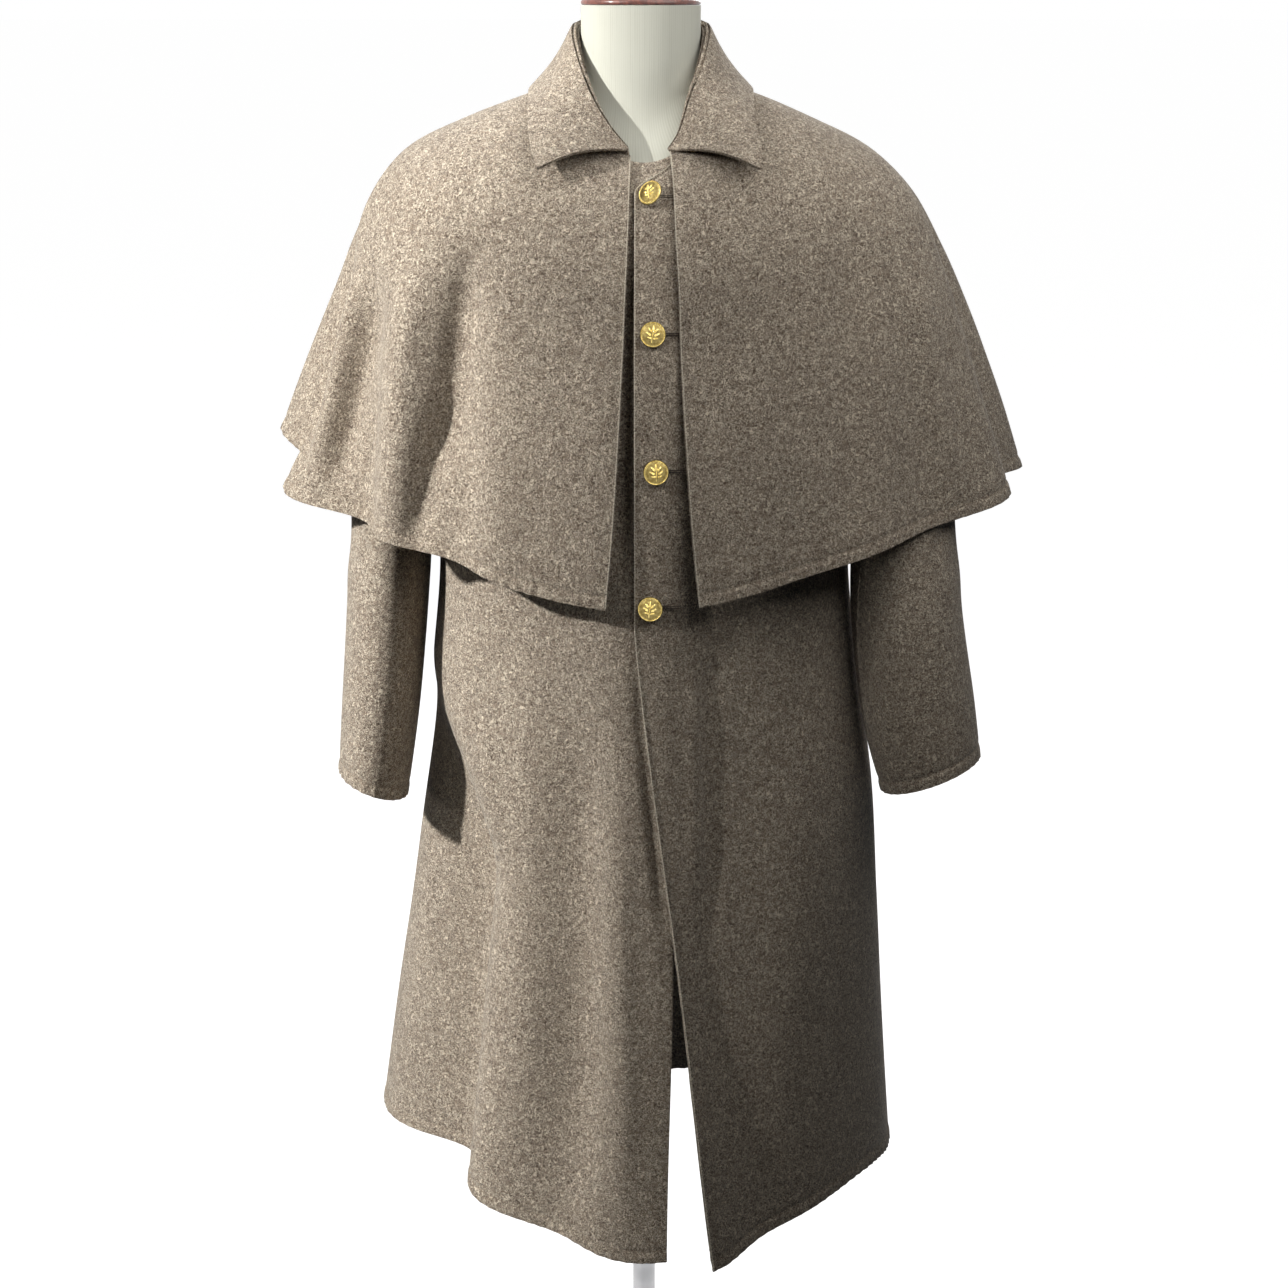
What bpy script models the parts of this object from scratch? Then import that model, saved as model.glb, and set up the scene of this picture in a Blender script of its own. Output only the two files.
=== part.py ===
"""A caped wool greatcoat, worn by a limbless dress form on a pole stand.

Metres, +Z up. The floor is z = 0 under the pole, and the coat's front faces -Y, so that the
wearer's left is +X. Each cloth piece is a wall of even thickness. Its outer face is a function
of an angle round the form and of a section number, which runs down a table of sections.
"""

import math

import bpy
import numpy as np

MM = 0.001
CLOTH = 2.4 * MM
COLLAR_CLOTH = 3.0 * MM
SEAM_GAP = 0.3 * MM
LAP_STEP = CLOTH + 1.0 * MM

COAT_COLOUR = (0.34, 0.28, 0.22, 1.0)
JERSEY_COLOUR = (0.70, 0.70, 0.62, 1.0)
BRASS_COLOUR = (0.83, 0.62, 0.20, 1.0)
WOOD_COLOUR = (0.33, 0.13, 0.09, 1.0)
STEEL_COLOUR = (0.55, 0.55, 0.56, 1.0)
IRON_COLOUR = (0.05, 0.05, 0.05, 1.0)

# Sections of the coat's body, from the neckline to the hem: half widths on the wearer's right
# and left, depths in front of and behind the pole, heights at the four quarters, how square the
# oval is, and the power with which its front falls from the sides to the middle.
SECTION_COLUMNS = (
    "right", "left", "front", "back", "z_front", "z_right", "z_left", "z_back", "square", "slope",
)
BODY_SECTIONS = (
    ("neckline", 0.075, 0.069, 0.084, 0.070, 1.412, 1.480, 1.479, 1.492, 2.0, 2.0),
    ("yoke", 0.117, 0.113, 0.112, 0.094, 1.388, 1.4655, 1.4655, 1.470, 2.1, 2.0),
    ("shoulder", 0.168, 0.168, 0.132, 0.114, 1.352, 1.4465, 1.442, 1.440, 2.3, 2.0),
    ("shoulder tip", 0.212, 0.212, 0.146, 0.128, 1.312, 1.423, 1.418, 1.400, 2.5, 2.0),
    ("armhole", 0.224, 0.224, 0.156, 0.140, 1.268, 1.366, 1.364, 1.347, 2.6, 2.0),
    ("chest", 0.224, 0.224, 0.164, 0.148, 1.218, 1.292, 1.290, 1.282, 2.6, 2.0),
    ("underarm", 0.215, 0.215, 0.168, 0.151, 1.158, 1.202, 1.200, 1.195, 2.5, 2.0),
    ("ribs", 0.208, 0.207, 0.169, 0.151, 1.085, 1.108, 1.108, 1.102, 2.4, 2.0),
    ("waist", 0.207, 0.207, 0.169, 0.152, 1.000, 1.010, 1.010, 1.005, 2.35, 2.0),
    ("hip", 0.217, 0.2185, 0.172, 0.160, 0.900, 0.905, 0.905, 0.900, 2.3, 2.0),
    ("seat", 0.228, 0.236, 0.178, 0.174, 0.775, 0.785, 0.778, 0.775, 2.3, 2.4),
    ("thigh", 0.2445, 0.244, 0.190, 0.190, 0.640, 0.662, 0.650, 0.640, 2.3, 3.6),
    ("knee", 0.264, 0.252, 0.204, 0.209, 0.503, 0.543, 0.526, 0.500, 2.3, 5.0),
    ("hem", 0.284, 0.264, 0.222, 0.230, 0.341, 0.409, 0.381, 0.340, 2.3, 6.0),
)
SHOULDER_TIP, UNDERARM, HEM = 3.0, 6.0, 13.0
BACK_SLOPE = 2.0

# Soft folds of the coat: the section where each starts, over how many it grows, its angle from
# centre front where it starts and at full size, its width towards the front and the back, its
# height, which is negative for a trough, the share of it left at the hem, and how far it lifts.
# The first two flatten the fronts, so that they meet in a blunt ridge at the lap.
# Columns: side, start, growth, first angle, angle, front width, back width, height, hem share, rise.
SKIRT_FOLDS = (
    ("right", 1.5, 4.0, 32.0, 32.0, 13.0, 22.0, -0.018, 1.0, -0.004),
    ("left", 1.5, 4.0, 25.0, 25.0, 10.0, 24.0, -0.019, 1.0, -0.004),
    ("right", 9.0, 4.0, 38.0, 38.0, 16.0, 16.0, 0.0, 1.0, -0.012),
    ("left", 9.0, 4.0, 38.0, 38.0, 16.0, 16.0, 0.0, 1.0, -0.008),
    ("right", 8.8, 1.8, 84.0, 62.0, 8.5, 12.0, -0.054, 1.2, 0.0),
    ("right", 9.2, 3.0, 50.0, 47.0, 9.0, 7.0, 0.008, 1.0, 0.0),
    ("right", 9.0, 4.0, 25.0, 23.0, 6.0, 7.0, -0.008, 1.0, 0.0),
    ("right", 8.5, 4.0, 124.0, 124.0, 12.0, 12.0, 0.014, 1.0, 0.0),
    ("right", 8.5, 4.0, 144.0, 146.0, 10.0, 10.0, -0.020, 1.0, 0.0),
    ("right", 8.5, 4.0, 168.0, 168.0, 11.0, 11.0, 0.014, 1.0, 0.0),
    ("left", 9.0, 4.0, 60.0, 62.0, 13.0, 14.0, -0.014, 1.0, 0.0),
    ("left", 8.5, 4.0, 106.0, 108.0, 12.0, 12.0, 0.010, 1.0, 0.0),
    ("left", 8.5, 4.0, 132.0, 131.0, 11.0, 11.0, -0.020, 1.0, 0.0),
    ("left", 8.5, 4.0, 157.0, 155.0, 10.0, 10.0, 0.016, 1.0, 0.0),
    ("left", 11.0, 2.0, 95.0, 95.0, 12.0, 20.0, 0.0, 1.0, -0.020),
)

# The front edges, by their distance from the form's middle. The left front laps over the right.
# Its top corner is cut away, and below the last button it swings to the wearer's left.
LEFT_EDGE = -9.5 * MM
LEFT_EDGE_AT_NECK = 26.0 * MM
LEFT_EDGE_AT_HEM = 77.0 * MM
LEFT_EDGE_SWINGS_BELOW = 0.98
LEFT_EDGE_CURVE = 1.15
RIGHT_EDGE = 29.0 * MM
RIGHT_EDGE_AT_HEM = 23.0 * MM
LAP_ENDS, LAP_FADE = 36.0 * MM, 60.0 * MM
CORNER_FLARE, CORNER_REACH, CORNER_DROP = 26.0 * MM, 34.0 * MM, 0.35
HEM_HEIGHT = 0.336
SIDE_SEAM = 94.0
ARMHOLE_HALF_ANGLE = 18.0

BODY_ROWS = (5, 11, 12)
FRONT_COLUMNS, BACK_COLUMNS = 16, 12

# Sections of the cape, as on the body. Its first four lie on the coat's shoulders.
CAPE_EASE = 4.9 * MM
CAPE_EASE_ENDS = 4.5
CAPE_SECTIONS = (
    ("neckline", 0.075, 0.069, 0.084, 0.070, 1.412, 1.480, 1.479, 1.492, 2.0, 2.0),
    ("yoke", 0.117, 0.113, 0.112, 0.094, 1.388, 1.4655, 1.4655, 1.470, 2.1, 2.0),
    ("shoulder", 0.168, 0.168, 0.132, 0.114, 1.352, 1.4465, 1.442, 1.440, 2.3, 2.0),
    ("shoulder tip", 0.226, 0.222, 0.149, 0.134, 1.310, 1.4185, 1.416, 1.400, 2.4, 1.8),
    ("upper arm", 0.2695, 0.2705, 0.162, 0.152, 1.262, 1.374, 1.374, 1.354, 2.4, 1.6),
    ("arm", 0.2935, 0.298, 0.172, 0.168, 1.210, 1.322, 1.322, 1.302, 2.35, 1.45),
    ("chest", 0.3115, 0.3205, 0.180, 0.182, 1.154, 1.264, 1.264, 1.245, 2.3, 1.35),
    ("elbow", 0.331, 0.340, 0.187, 0.195, 1.098, 1.206, 1.207, 1.188, 2.25, 1.3),
    ("lower", 0.3525, 0.3605, 0.192, 0.207, 1.048, 1.148, 1.149, 1.133, 2.2, 1.25),
    ("hem", 0.373, 0.378, 0.196, 0.217, 1.004, 1.096, 1.097, 1.084, 2.2, 1.2),
)
CAPE_HEM = 9.0
CAPE_FOLDS = (
    ("right", 1.5, 4.0, 31.0, 31.0, 13.0, 18.0, -0.016, 1.0, -0.004),
    ("left", 1.5, 4.0, 27.0, 27.0, 11.0, 20.0, -0.017, 1.0, -0.004),
    ("right", 2.6, 4.6, 50.0, 53.0, 7.0, 5.0, -0.030, 1.0, 0.0),
    ("right", 3.0, 6.0, 75.0, 71.0, 6.0, 5.5, -0.047, 1.0, 0.0),
    ("right", 2.6, 4.5, 92.0, 90.5, 4.0, 4.0, -0.032, 1.0, 0.01),
    ("right", 3.0, 5.5, 101.0, 101.0, 6.0, 9.0, 0.013, 1.0, 0.042),
    ("right", 3.5, 5.0, 122.0, 122.0, 9.0, 9.0, -0.030, 1.0, 0.0),
    ("right", 3.5, 5.0, 143.0, 143.0, 9.0, 9.0, 0.014, 1.0, 0.0),
    ("right", 3.5, 5.0, 164.0, 164.0, 9.0, 9.0, -0.020, 1.0, 0.0),
    ("left", 3.0, 6.0, 46.0, 46.0, 8.0, 8.0, -0.010, 1.0, 0.0),
    ("left", 3.0, 6.0, 70.0, 68.0, 8.0, 6.0, -0.028, 1.0, 0.0),
    ("left", 2.0, 3.5, 91.0, 90.0, 4.5, 4.0, -0.026, 1.0, 0.0),
    ("left", 2.6, 5.5, 99.0, 99.0, 6.0, 9.0, 0.022, 1.0, 0.0),
    ("left", 3.5, 5.0, 124.0, 124.0, 9.0, 9.0, -0.028, 1.0, 0.0),
    ("left", 3.5, 5.0, 148.0, 148.0, 10.0, 10.0, 0.016, 1.0, 0.0),
)
CAPE_RIGHT_EDGE_AT_NECK, CAPE_RIGHT_EDGE_AT_HEM = -13.0 * MM, -37.0 * MM
CAPE_LEFT_EDGE_AT_NECK, CAPE_LEFT_EDGE_AT_HEM = 27.0 * MM, 55.0 * MM
CAPE_ROWS = 13
# Columns between these angles from centre front: the folds beside the arms need the most.
CAPE_COLUMN_BANDS = ((45.0, 5), (106.0, 20), (180.0, 9))

# Sleeves, by how far down the arm each section lies: its middle on the wearer's right and on
# the left, and its half width across and half depth from front to back on each.
SLEEVE_COLUMNS = (
    "right_x", "right_y", "right_z", "right_across", "right_deep",
    "left_x", "left_y", "left_z", "left_across", "left_deep",
)
SLEEVE_SECTIONS = (
    ("armhole", -0.226, -0.001, 1.300, 0.060, 0.076, 0.226, -0.001, 1.300, 0.060, 0.076),
    ("sleeve head", -0.250, -0.002, 1.255, 0.050, 0.076, 0.251, -0.004, 1.255, 0.050, 0.076),
    ("upper arm", -0.258, -0.003, 1.195, 0.0395, 0.076, 0.262, -0.010, 1.195, 0.043, 0.076),
    ("biceps", -0.2555, -0.006, 1.130, 0.0405, 0.076, 0.2605, -0.022, 1.130, 0.046, 0.075),
    ("above elbow", -0.2535, -0.012, 1.050, 0.040, 0.075, 0.258, -0.042, 1.050, 0.051, 0.072),
    ("elbow", -0.259, -0.020, 0.970, 0.0405, 0.073, 0.2610, -0.062, 0.970, 0.055, 0.070),
    ("forearm", -0.2665, -0.030, 0.880, 0.039, 0.071, 0.2735, -0.072, 0.880, 0.056, 0.067),
    ("cuff", -0.2765, -0.038, 0.788, 0.0345, 0.068, 0.2880, -0.078, 0.810, 0.0500, 0.063),
)
SLEEVE_ROWS = 13
SLEEVE_BLEND = 0.30
CUFF_SLANTS = {"right": 11.0 * MM, "left": 9.0 * MM}
ARMHOLE_SEAT, ARMHOLE_TOP_SEAT = 1.0 * MM, 1.5 * MM

# The collar at stations from its front end round to centre back: the angle of its seam on the
# neckline, then the roll line and the outer edge as distances to the side, back and up.
COLLAR_COLUMNS = ("angle", "roll_x", "roll_y", "roll_z", "edge_x", "edge_y", "edge_z", "bulge")
COLLAR_STATIONS = (
    ("front end", 9.0, 0.0130, -0.0850, 1.4290, 0.0955, -0.1335, 1.4095, 0.001),
    ("above the point", 24.0, 0.0310, -0.0800, 1.4480, 0.1030, -0.1060, 1.4310, 0.002),
    ("side of the throat", 48.0, 0.0470, -0.0660, 1.4760, 0.1060, -0.0700, 1.4540, 0.002),
    ("shoulder front", 72.0, 0.0590, -0.0350, 1.5090, 0.1070, -0.0320, 1.4700, -0.003),
    ("shoulder", 96.0, 0.0640, 0.0020, 1.5330, 0.1060, 0.0120, 1.4780, -0.004),
    ("shoulder back", 122.0, 0.0580, 0.0380, 1.5400, 0.0930, 0.0560, 1.4860, -0.001),
    ("back", 150.0, 0.0340, 0.0610, 1.5440, 0.0560, 0.0870, 1.4890, 0.004),
    ("centre back", 180.0, 0.0000, 0.0690, 1.5450, 0.0000, 0.0970, 1.4900, 0.004),
)
COLLAR_LEFT_SHIFT = 14.0 * MM
COLLAR_LEFT_SHIFT_FADES = 2.2
COLLAR_ROLL = 3.2 * MM
COLLAR_STATION_COUNT = 19

# The four buttons stand on the left front, by height. Each has its middle this far from centre.
BUTTON_HEIGHTS = (1.383, 1.260, 1.133, 1.002)
BUTTON_SIDES = (7.5 * MM, 8.0 * MM, 10.5 * MM, 6.0 * MM)
BUTTON_RADIUS = 12.0 * MM
BUTTON_STEPS = 16
SHANK_RADIUS, SHANK_LENGTH = 2.2 * MM, 2.2 * MM

# The form inside: how far its jersey lies within the coat's wall, section by section.
FORM_CLEARANCES = (
    (0.0, 3.2 * MM), (1.0, 0.9 * MM), (2.0, 1.0 * MM), (3.0, 8.0 * MM), (4.0, 20.0 * MM),
    (5.0, 24.0 * MM), (6.0, 22.0 * MM), (7.0, 18.0 * MM), (8.0, 20.0 * MM), (9.0, 26.0 * MM),
    (9.9, 44.0 * MM),
)
FORM_ROWS, FORM_COLUMNS = 17, 32
NECK_RADIUS, NECK_TOP = 57.5 * MM, 1.5545
NECK_MIDDLE = -3.0 * MM
NECK_RISE = 34.0 * MM
CAP_RADIUS, CAP_HEIGHT = 57.5 * MM, 9.0 * MM
POLE_RADIUS = 12.0 * MM
BASE_RADIUS, BASE_RIM, BASE_HUB = 0.180, 14.0 * MM, 46.0 * MM
HUB_RADIUS = 30.0 * MM


def smooth(x):
    """Rises from 0 to 1 as x does, level at both ends."""
    x = np.clip(x, 0.0, 1.0)
    return x * x * (3.0 - 2.0 * x)


def along_table(rows, column, place):
    """A smooth curve through one column of a table, read at a section number."""
    values = np.array([row[1 + column] for row in rows])
    place = np.asarray(place, float)
    padded = np.concatenate([[2 * values[0] - values[1]], values, [2 * values[-1] - values[-2]]])
    first = np.clip(np.floor(place).astype(int), 0, len(values) - 2)
    t = place - first
    before, here, after, beyond = (padded[first + k] for k in range(4))
    slope_here, slope_after = (after - before) / 2, (beyond - here) / 2
    rest = after - here
    bend = 3 * rest - 2 * slope_here - slope_after
    return here + slope_here * t + bend * t**2 + (slope_here + slope_after - 2 * rest) * t**3


def section_value(rows, name, place):
    return along_table(rows, SECTION_COLUMNS.index(name), place)


def fold_shape(folds, angle, section, last):
    """How far the soft folds move a point out and up. A fold is a bell across its width, which
    grows down the cloth and may fade again towards the last section."""
    out = np.zeros(np.broadcast(angle, section).shape)
    up = np.zeros_like(out)
    for side, start, growth, first, final, front_width, back_width, height, share, rise in folds:
        grown = smooth((section - start) / growth)
        faded = 1.0 - (1.0 - share) * smooth((section - start - growth) / max(last - start - growth, 1.0))
        across = angle * (1.0 if side == "left" else -1.0) - first - (final - first) * grown
        across = (across + 180.0) % 360.0 - 180.0
        width = np.where(across < 0, front_width, back_width)
        bell = grown * faded * np.exp(-0.5 * (across / width) ** 2)
        out = out + height * bell
        up = up + rise * bell
    return out, up


def garment_point(rows, folds, angle, section):
    """A point on a garment. Each section is a squared oval with its own half widths, depths and
    heights, and the folds move it. Angles run from centre front to the wearer's left."""
    turn = np.radians(angle)
    sine, cosine = np.sin(turn), np.cos(turn)
    is_left, is_front = sine > 0, cosine > 0
    read = {name: section_value(rows, name, section) for name in SECTION_COLUMNS}
    side = np.where(is_left, read["left"], read["right"])
    depth = np.where(is_front, read["front"], read["back"])
    square = read["square"]
    across, along = np.abs(sine) / side, np.abs(cosine) / depth
    radius = (across**square + along**square) ** (-1 / square)
    out, up = fold_shape(folds, angle, section, len(rows) - 1.0)
    z_side = np.where(is_left, read["z_left"], read["z_right"])
    z_end = np.where(is_front, read["z_front"], read["z_back"])
    power = np.where(is_front, read["slope"], BACK_SLOPE)
    height = z_side + (z_end - z_side) * np.abs(cosine) ** power + up
    return np.stack([(radius + out) * sine, -(radius + out) * cosine, height], axis=-1)


def normals_of(surface, angle, section):
    """Outward normals of a surface given as a function of angle and section."""
    step_angle, step_section = 0.5, 0.02
    low = np.maximum(section - step_section, 0.0)
    around = surface(angle + step_angle, section) - surface(angle - step_angle, section)
    down = surface(angle, section + step_section) - surface(angle, low)
    normal = np.cross(around, -down)
    return normal / np.linalg.norm(normal, axis=-1, keepdims=True)


def body_point(angle, section):
    return garment_point(BODY_SECTIONS, SKIRT_FOLDS, angle, section)


def plain_cape_point(angle, section):
    return garment_point(CAPE_SECTIONS, CAPE_FOLDS, angle, section)


def lap_share(point):
    """1 where the left front lies over the right one, fading to 0 away from the lap."""
    return 1.0 - smooth((point[..., 0] - LAP_ENDS) / LAP_FADE)


def cape_point(angle, section):
    """The cape lies on the coat's shoulders, so there it is moved out by its ease."""
    plain = plain_cape_point(angle, section)
    ease = CAPE_EASE + LAP_STEP * lap_share(plain) * (plain[..., 0] > 0)
    ease = ease * (1.0 - smooth((section - SHOULDER_TIP) / (CAPE_EASE_ENDS - SHOULDER_TIP)))
    return plain + ease[..., None] * normals_of(plain_cape_point, angle, section)


def left_front_point(angle, section):
    """The left front lies over the right one where they lap, and its low corner flares."""
    flat = body_point(angle, section)
    low = smooth((section - 10.5) / (HEM - 10.5))
    from_edge = np.clip(flat[..., 0] - left_edge(flat[..., 2]), 0.0, None)
    flare = CORNER_FLARE * low * np.exp(-((from_edge / CORNER_REACH) ** 2))
    moved = (LAP_STEP * lap_share(flat))[..., None] * normals_of(body_point, angle, section)
    forward = np.stack([0.0 * flare, -flare, -CORNER_DROP * flare], axis=-1)
    return flat + moved + forward


def left_edge(height):
    """How far to the wearer's left the left front's edge is at a height."""
    top = smooth((height - 1.386) / 0.026)
    fall = np.clip((LEFT_EDGE_SWINGS_BELOW - height) / (LEFT_EDGE_SWINGS_BELOW - HEM_HEIGHT), 0, None)
    swing = (LEFT_EDGE_AT_HEM - LEFT_EDGE) * fall**LEFT_EDGE_CURVE
    return LEFT_EDGE + (LEFT_EDGE_AT_NECK - LEFT_EDGE) * top + swing


def right_edge(height):
    low = smooth((0.66 - height) / (0.66 - HEM_HEIGHT))
    return RIGHT_EDGE + (RIGHT_EDGE_AT_HEM - RIGHT_EDGE) * low


def edge_angle(rows, section, offset):
    """The angle at which an offset to the side lies on a section's front."""
    return np.degrees(np.arctan2(offset, section_value(rows, "front", section)))


def finish(mesh, name, colour, metallic, roughness):
    """An object of its own with its own material, shaded smooth."""
    obj = bpy.data.objects.new(name, mesh)
    PARTS.objects.link(obj)
    material = bpy.data.materials.new(name)
    material.use_nodes = True
    shader = material.node_tree.nodes["Principled BSDF"]
    shader.inputs["Base Color"].default_value = colour
    shader.inputs["Metallic"].default_value = metallic
    shader.inputs["Roughness"].default_value = roughness
    mesh.materials.append(material)
    mesh.shade_smooth()
    mesh.set_sharp_from_angle(angle=math.radians(40.0))
    return obj


def strip(first, second, closed):
    """Quads between two rows of point numbers."""
    count = len(first)
    reach = count if closed else count - 1
    return [(first[j], first[(j + 1) % count], second[(j + 1) % count], second[j]) for j in range(reach)]


def cloth_wall(name, outer, normals, thickness=CLOTH, closed=False):
    """A wall of cloth: a grid of outer points, the same grid moved in, and rims between them."""
    inner = outer - thickness * normals
    rows, columns = outer.shape[:2]
    numbers = np.arange(rows * columns).reshape(rows, columns)
    beneath = numbers + rows * columns
    faces = []
    for k in range(rows - 1):
        faces += strip(numbers[k + 1], numbers[k], closed)
        faces += strip(beneath[k], beneath[k + 1], closed)
    faces += strip(numbers[0], beneath[0], closed)
    faces += strip(beneath[-1], numbers[-1], closed)
    if not closed:
        faces += strip(beneath[:, 0], numbers[:, 0], False)
        faces += strip(numbers[:, -1], beneath[:, -1], False)
    mesh = bpy.data.meshes.new(name)
    points = np.concatenate([outer.reshape(-1, 3), inner.reshape(-1, 3)])
    mesh.from_pydata(points.tolist(), [], [[int(v) for v in face] for face in faces])
    return finish(mesh, name, COAT_COLOUR, 0.0, 0.95)


def body_rows():
    """Section numbers of the body's rows: shoulder, armhole, then the skirt."""
    shoulder, armhole, skirt = BODY_ROWS
    return np.concatenate([
        np.linspace(0.0, SHOULDER_TIP, shoulder + 1)[:-1],
        np.linspace(SHOULDER_TIP, UNDERARM, armhole + 1)[:-1],
        np.linspace(UNDERARM, HEM, skirt + 1),
    ])


def armhole_half_angle(section):
    """Half the armhole's width, as an angle: none at the shoulder tip and at the underarm."""
    inside = np.clip((section - SHOULDER_TIP) / (UNDERARM - SHOULDER_TIP), 0.0, 1.0)
    return ARMHOLE_HALF_ANGLE * np.sin(np.pi * inside) ** 0.62


def seam_angle(section):
    """Half the seam gap as an angle."""
    return np.degrees(SEAM_GAP / 2 / section_value(BODY_SECTIONS, "left", section))


def between(first, last, columns):
    """Columns of angles that run from one edge of a panel to the other, row by row."""
    share = np.linspace(0.0, 1.0, columns + 1)
    return first[:, None] + (last - first)[:, None] * share[None, :]


def edge_on(surface, section, offset_at):
    """The angles of an edge that is given by its offset to the side at each height."""
    angle = edge_angle(BODY_SECTIONS, section, offset_at(section_value(BODY_SECTIONS, "z_front", section)))
    for _ in range(4):
        point = surface(angle, section)
        angle = np.degrees(np.arctan2(offset_at(point[..., 2]), -point[..., 1]))
    return angle


def make_panel(name, surface, angles, rows):
    sections = np.repeat(rows[:, None], angles.shape[1], axis=1)
    outer = surface(angles, sections)
    return cloth_wall(name, outer, normals_of(surface, angles, sections))


def make_body():
    """Two fronts and two backs. Each panel's side edge is the shoulder seam, then its share of
    the armhole, then the side seam."""
    rows = body_rows()
    hole, half_gap = armhole_half_angle(rows), seam_angle(rows)
    front_end = SIDE_SEAM - hole - half_gap
    back_end = SIDE_SEAM + hole + half_gap
    left = between(edge_on(left_front_point, rows, left_edge), front_end, FRONT_COLUMNS)
    make_panel("front_left", left_front_point, left, rows)
    right = between(-front_end, edge_on(body_point, rows, right_edge), FRONT_COLUMNS)
    make_panel("front_right", body_point, right, rows)
    centre_back = 180.0 - half_gap
    make_panel("back_left", body_point, between(back_end, centre_back, BACK_COLUMNS), rows)
    make_panel("back_right", body_point, between(-centre_back, -back_end, BACK_COLUMNS), rows)


def armhole_loop(sign):
    """Points round an armhole, from the shoulder tip down the front and up the back."""
    inside = body_rows()
    inside = inside[(inside >= SHOULDER_TIP - 1e-6) & (inside <= UNDERARM + 1e-6)]
    hole = armhole_half_angle(inside)
    angles = np.concatenate([SIDE_SEAM - hole, (SIDE_SEAM + hole)[-2:0:-1]])
    sections = np.concatenate([inside, inside[-2:0:-1]])
    points = body_point(sign * angles, sections)
    return points, normals_of(body_point, sign * angles, sections)


def make_sleeve(name, side, sign):
    """A tube from the armhole to the cuff. Its first ring stands on the body round the hole."""
    loop, loop_normals = armhole_loop(sign)
    middle = loop.mean(axis=0)
    outwards = loop - middle
    outwards /= np.linalg.norm(outwards, axis=1, keepdims=True)
    high = smooth((loop[:, 2] - middle[2]) / (loop[0, 2] - middle[2]))
    raised = ARMHOLE_SEAT + (ARMHOLE_TOP_SEAT - ARMHOLE_SEAT) * high
    seat = loop + raised[:, None] * loop_normals + (CLOTH + SEAM_GAP) * outwards
    count = len(loop)
    around = 2 * np.pi * np.arange(count) / count
    places = np.linspace(0.0, len(SLEEVE_SECTIONS) - 1.0, SLEEVE_ROWS + 1)
    read = {
        name: along_table(SLEEVE_SECTIONS, SLEEVE_COLUMNS.index(f"{side}_{name}"), places)
        for name in ("x", "y", "z", "across", "deep")
    }
    axis = np.stack([read["x"], read["y"], read["z"]], axis=1)
    along = np.gradient(axis, axis=0)
    along /= np.linalg.norm(along, axis=1, keepdims=True)
    deep = np.array([0.0, 1.0, 0.0]) - along[:, 1:2] * along
    deep /= np.linalg.norm(deep, axis=1, keepdims=True)
    across = sign * np.cross(along, deep)
    outside, ahead = np.cos(around), np.sin(around)
    rings = (
        axis[:, None]
        + across[:, None] * (read["across"][:, None] * outside)[..., None]
        - deep[:, None] * (read["deep"][:, None] * ahead)[..., None]
    )
    low = smooth((places - places[-4]) / (places[-1] - places[-4]))
    rings[..., 2] += CUFF_SLANTS[side] * low[:, None] * outside
    share = smooth(places / places[-1] / SLEEVE_BLEND)[:, None, None]
    carried = seat[None] + (axis - axis[0])[:, None]
    rings = carried + (rings - carried) * share
    around_step = np.roll(rings, -1, axis=1) - np.roll(rings, 1, axis=1)
    down_step = np.gradient(rings, axis=0)
    normals = np.cross(around_step, down_step) * sign
    normals /= np.linalg.norm(normals, axis=2, keepdims=True)
    if sign < 0:
        rings, normals = rings[:, ::-1], normals[:, ::-1]
    return cloth_wall(name, rings[:, ::-1], normals[:, ::-1], closed=True)


def cape_columns():
    """Shares of a half turn at which the cape has its columns, from the front to the back."""
    angles, begin = [0.0], 0.0
    for end, count in CAPE_COLUMN_BANDS:
        angles += list(np.linspace(begin, end, count + 1)[1:])
        begin = end
    return np.array(angles)


def cape_front_angle(section, at_neck, at_hem):
    share = smooth(section / CAPE_HEM) * 0.5 + 0.5 * section / CAPE_HEM
    offset = at_neck + (at_hem - at_neck) * share
    return edge_angle(CAPE_SECTIONS, section, offset)


def make_cape():
    """One sheet from the right front edge round the back to the left front edge."""
    sections = np.linspace(0.0, CAPE_HEM, CAPE_ROWS + 1)[:, None]
    base = cape_columns()
    left_start = cape_front_angle(sections, CAPE_LEFT_EDGE_AT_NECK, CAPE_LEFT_EDGE_AT_HEM)
    right_start = -cape_front_angle(sections, CAPE_RIGHT_EDGE_AT_NECK, CAPE_RIGHT_EDGE_AT_HEM)
    pulled = np.clip(1.0 - base / CAPE_COLUMN_BANDS[0][0], 0.0, 1.0)
    left = base + left_start * pulled
    right = base + right_start * pulled
    angles = np.concatenate([left, 360.0 - right[:, -2::-1]], axis=1)
    sections = np.repeat(sections, angles.shape[1], axis=1)
    outer = cape_point(angles, sections)
    return cloth_wall("cape", outer, normals_of(cape_point, angles, sections))


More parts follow.
